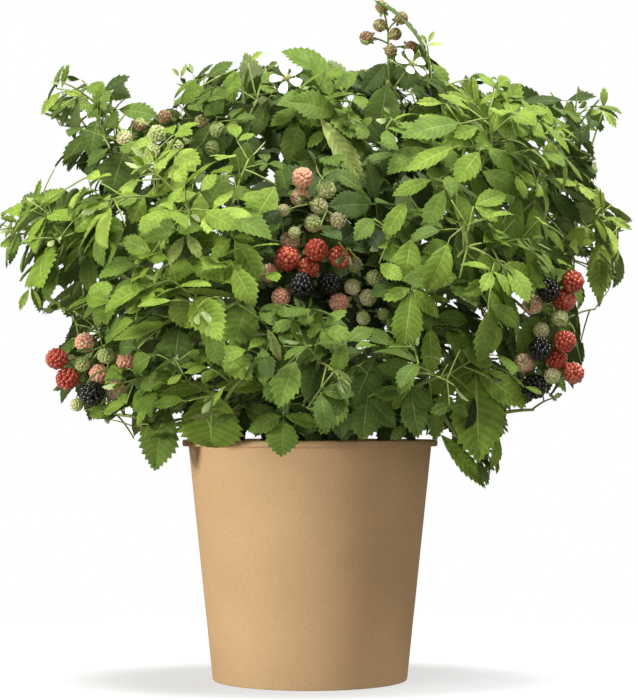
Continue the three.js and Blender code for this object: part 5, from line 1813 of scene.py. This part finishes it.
def make_twigs(growths):
    """All twigs and stalks in one piece."""
    pile = Pile()
    for growth in growths:
        for limb in growth.twigs:
            pile.add_limb(limb)
    piece = pile.make("twigs", [surface("twig_green", WOOD_COLOURS["twig"], TWIG_FINISH)])
    return piece


def make_fruit(growths):
    """All berries in one piece."""
    pile = Pile()
    chance = np.random.default_rng(SEED.finer - 2)
    for growth in growths:
        for berry in growth.berries:
            add_berry(pile, chance, *berry)
    piece = pile.make("fruit", fruit_materials())
    return piece


def make_blossoms(growths):
    """All blossoms in one piece."""
    pile = Pile()
    chance = np.random.default_rng(SEED.finer - 3)
    for growth in growths:
        for flower in growth.flowers:
            add_flower(pile, chance, *flower)
    piece = pile.make("blossoms", flower_materials())
    return piece


def grow_skirt(growths):
    """Leaves that hang low round the foot of the crown, some of them into the tub."""
    chance = np.random.default_rng(SEED.finer - 4)
    for index in range(SKIRT.leaves):
        angle = index * GOLDEN_ANGLE
        around = np.array([math.cos(angle), math.sin(angle), 0.0])
        hub = around * chance.uniform(*SKIRT.radius) + UP * chance.uniform(*SKIRT.height)
        power = ((hub - CENTRES) ** 2).sum(1) - MEAN_REACHES ** 2
        growth = growths[int(np.argmin(power))]
        look = growth.look_of(chance.uniform(*SKIRT.length))
        growth.grow_leaf(hub, around + UP * SKIRT.face_up, around * SKIRT.head_out - UP, look)


# How the tub's rim and the canes are cut into steps for the crowd
RIM_STEPS = 48
CANE_STEPS = 8


def grow_plant():
    """The canes and all that grows on them, the fruit and the leading leaves before the rest."""
    canes = plan_canes()
    crowd = Crowd()
    turns = np.linspace(0, 2 * math.pi, RIM_STEPS + 1)
    rim = np.stack([np.cos(turns), np.sin(turns), turns * 0], 1) * (TUB.rim_radius - TUB.wall)
    crowd.add_limb(rim + UP * (TUB.height - 1))
    for cane in canes.values():
        crowd.add_limb(cane.curve.at(np.linspace(0, 1, CANE_STEPS + 1)))
    growths = [Growth(number, canes[mass.name], crowd) for number, mass in enumerate(MASSES)]
    for growth in growths:
        growth.grow_trusses()
        growth.grow_blossoms()
        growth.grow_side_shoots()
    named = {growth.mass.name: growth for growth in growths}
    for leaf in LEADING_LEAVES:
        named[leaf.mass_name].grow_leading_leaf(leaf)
    for growth in growths:
        growth.grow_lead_shoots()
    grow_skirt(growths)
    for growth in growths:
        growth.grow_main_leaves()
    for growth in growths:
        growth.grow_finer_shoots()
    for growth in growths:
        for shell in SHELLS:
            growth.grow_shell(shell)
    return [*make_foliage(growths), make_twigs(growths), make_fruit(growths), make_blossoms(growths),
            make_canes(canes)]


# Camera, stage and light


FLOOR = SimpleNamespace(radius=620, sides=96)

# The soft shadow on the floor about the tub's foot, painted as a dimmer glow there: its middle, how far
# it reaches each way, how much of that it is full for, and the floor's glow in it and beyond it
FLOOR_PAINTED_SHADOW = SimpleNamespace(
    middle=(8, -12, 0), reach=(280, 175, 280), full=0.55, glow=0.65, glow_beyond=0.96
)

# Each light's name, place, aim, size and power, in metres and watts
LIGHTS = (
    ("key", (-2.05, -1.2, 0.26), (0, 0, 0.25), 0.8, 45),
    ("top", (-0.2, -0.85, 2.2), (0, 0, 0.4), 0.8, 29),
    ("right", (0.85, -0.65, 2.15), (0.1, 0, 0.35), 0.7, 38),
    ("front", (0.7, -2.6, 0.6), (0.05, 0, 0.3), 1.2, 10),
    ("back", (0.9, 1.9, 1.5), (0, 0, 0.4), 1.4, 15),
)
FLOOR_LOOK = {
    "Base Color": (0.2, 0.2, 0.197, 1), "Roughness": 0.9, "Specular IOR Level": 0,
    "Emission Color": (1, 1, 0.99, 1),
}
FILL = {"Color": (1.0, 0.97, 0.93, 1), "Strength": 0.3}
BACKDROP = {"Color": (1, 1, 1, 1), "Strength": 1.0}


def place_in_scene(name, data, place, aim):
    """A camera or a light at its place, turned to its aim."""
    made = bpy.data.objects.new(name, data)
    bpy.context.scene.collection.objects.link(made)
    made.location = place
    made.rotation_euler = (aim - place).to_track_quat("-Z", "Y").to_euler()
    return made


def add_camera():
    """The camera at the photo's viewpoint."""
    data = bpy.data.cameras.new("camera")
    data.lens = VIEW.lens
    aim = Vector((VIEW.place[0], 0, VIEW.aim_height)) * MM
    bpy.context.scene.camera = place_in_scene("camera", data, Vector(VIEW.place) * MM, aim)


def add_area_light(name, place, aim, size, power):
    """A soft round light."""
    data = bpy.data.lights.new(name, "AREA")
    data.shape = "DISK"
    data.size = size
    data.energy = power
    place_in_scene(name, data, Vector(place), Vector(aim))


def add_floor():
    """A pale round floor that glows, so that only a soft shadow about the tub's foot shows on it: partly the
    lamps' real shadow on its grey base, partly painted by a dimmer glow there.
    """
    ring = np.arange(FLOOR.sides)
    angles = ring / FLOOR.sides * 2 * math.pi
    rim = np.stack([np.cos(angles) * FLOOR.radius, np.sin(angles) * FLOOR.radius, angles * 0], 1)
    middle = np.full(FLOOR.sides, FLOOR.sides)
    pile = Pile()
    pile.add(np.concatenate([rim, [(0, 0, 0)]]), np.stack([ring, (ring + 1) % FLOOR.sides, middle], 1))
    material, tree, shader, place = new_material("floor", FLOOR_LOOK)
    # A dimmer glow about the tub's foot paints its soft shadow on the floor.
    mapping = add_node(tree, "Mapping", vector_type="TEXTURE")
    mapping.inputs["Location"].default_value = Vector(FLOOR_PAINTED_SHADOW.middle) * MM
    mapping.inputs["Scale"].default_value = Vector(FLOOR_PAINTED_SHADOW.reach) * MM
    nearness = add_node(tree, "TexGradient", gradient_type="SPHERICAL")
    glow = add_node(tree, "MapRange", interpolation_type="SMOOTHSTEP")
    glow.inputs["From Max"].default_value = 1 - FLOOR_PAINTED_SHADOW.full
    glow.inputs["To Min"].default_value = FLOOR_PAINTED_SHADOW.glow_beyond
    glow.inputs["To Max"].default_value = FLOOR_PAINTED_SHADOW.glow
    tree.links.new(place, mapping.inputs["Vector"])
    tree.links.new(mapping.outputs["Vector"], nearness.inputs["Vector"])
    tree.links.new(nearness.outputs["Fac"], glow.inputs["Value"])
    tree.links.new(glow.outputs["Result"], shader.inputs["Emission Strength"])
    floor = pile.make("floor", [material])
    floor.visible_diffuse = False
    floor.visible_glossy = False


def set_world():
    """White behind the plant, and softer light from all round it."""
    world = bpy.data.worlds.new("studio")
    bpy.context.scene.world = world
    world.use_nodes = True
    tree = world.node_tree
    tree.nodes.clear()
    rays = add_node(tree, "LightPath")
    fill = add_node(tree, "Background", FILL)
    backdrop = add_node(tree, "Background", BACKDROP)
    mix = add_node(tree, "MixShader")
    output = add_node(tree, "OutputWorld")
    tree.links.new(rays.outputs["Is Camera Ray"], mix.inputs["Fac"])
    tree.links.new(fill.outputs["Background"], mix.inputs[1])
    tree.links.new(backdrop.outputs["Background"], mix.inputs[2])
    tree.links.new(mix.outputs["Shader"], output.inputs["Surface"])


add_camera()
for piece in [*grow_plant(), make_stool(), make_tub(), make_compost()]:
    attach(piece, "root")
add_floor()
set_world()
for light in LIGHTS:
    add_area_light(*light)
bpy.context.scene.view_settings.view_transform = "Standard"
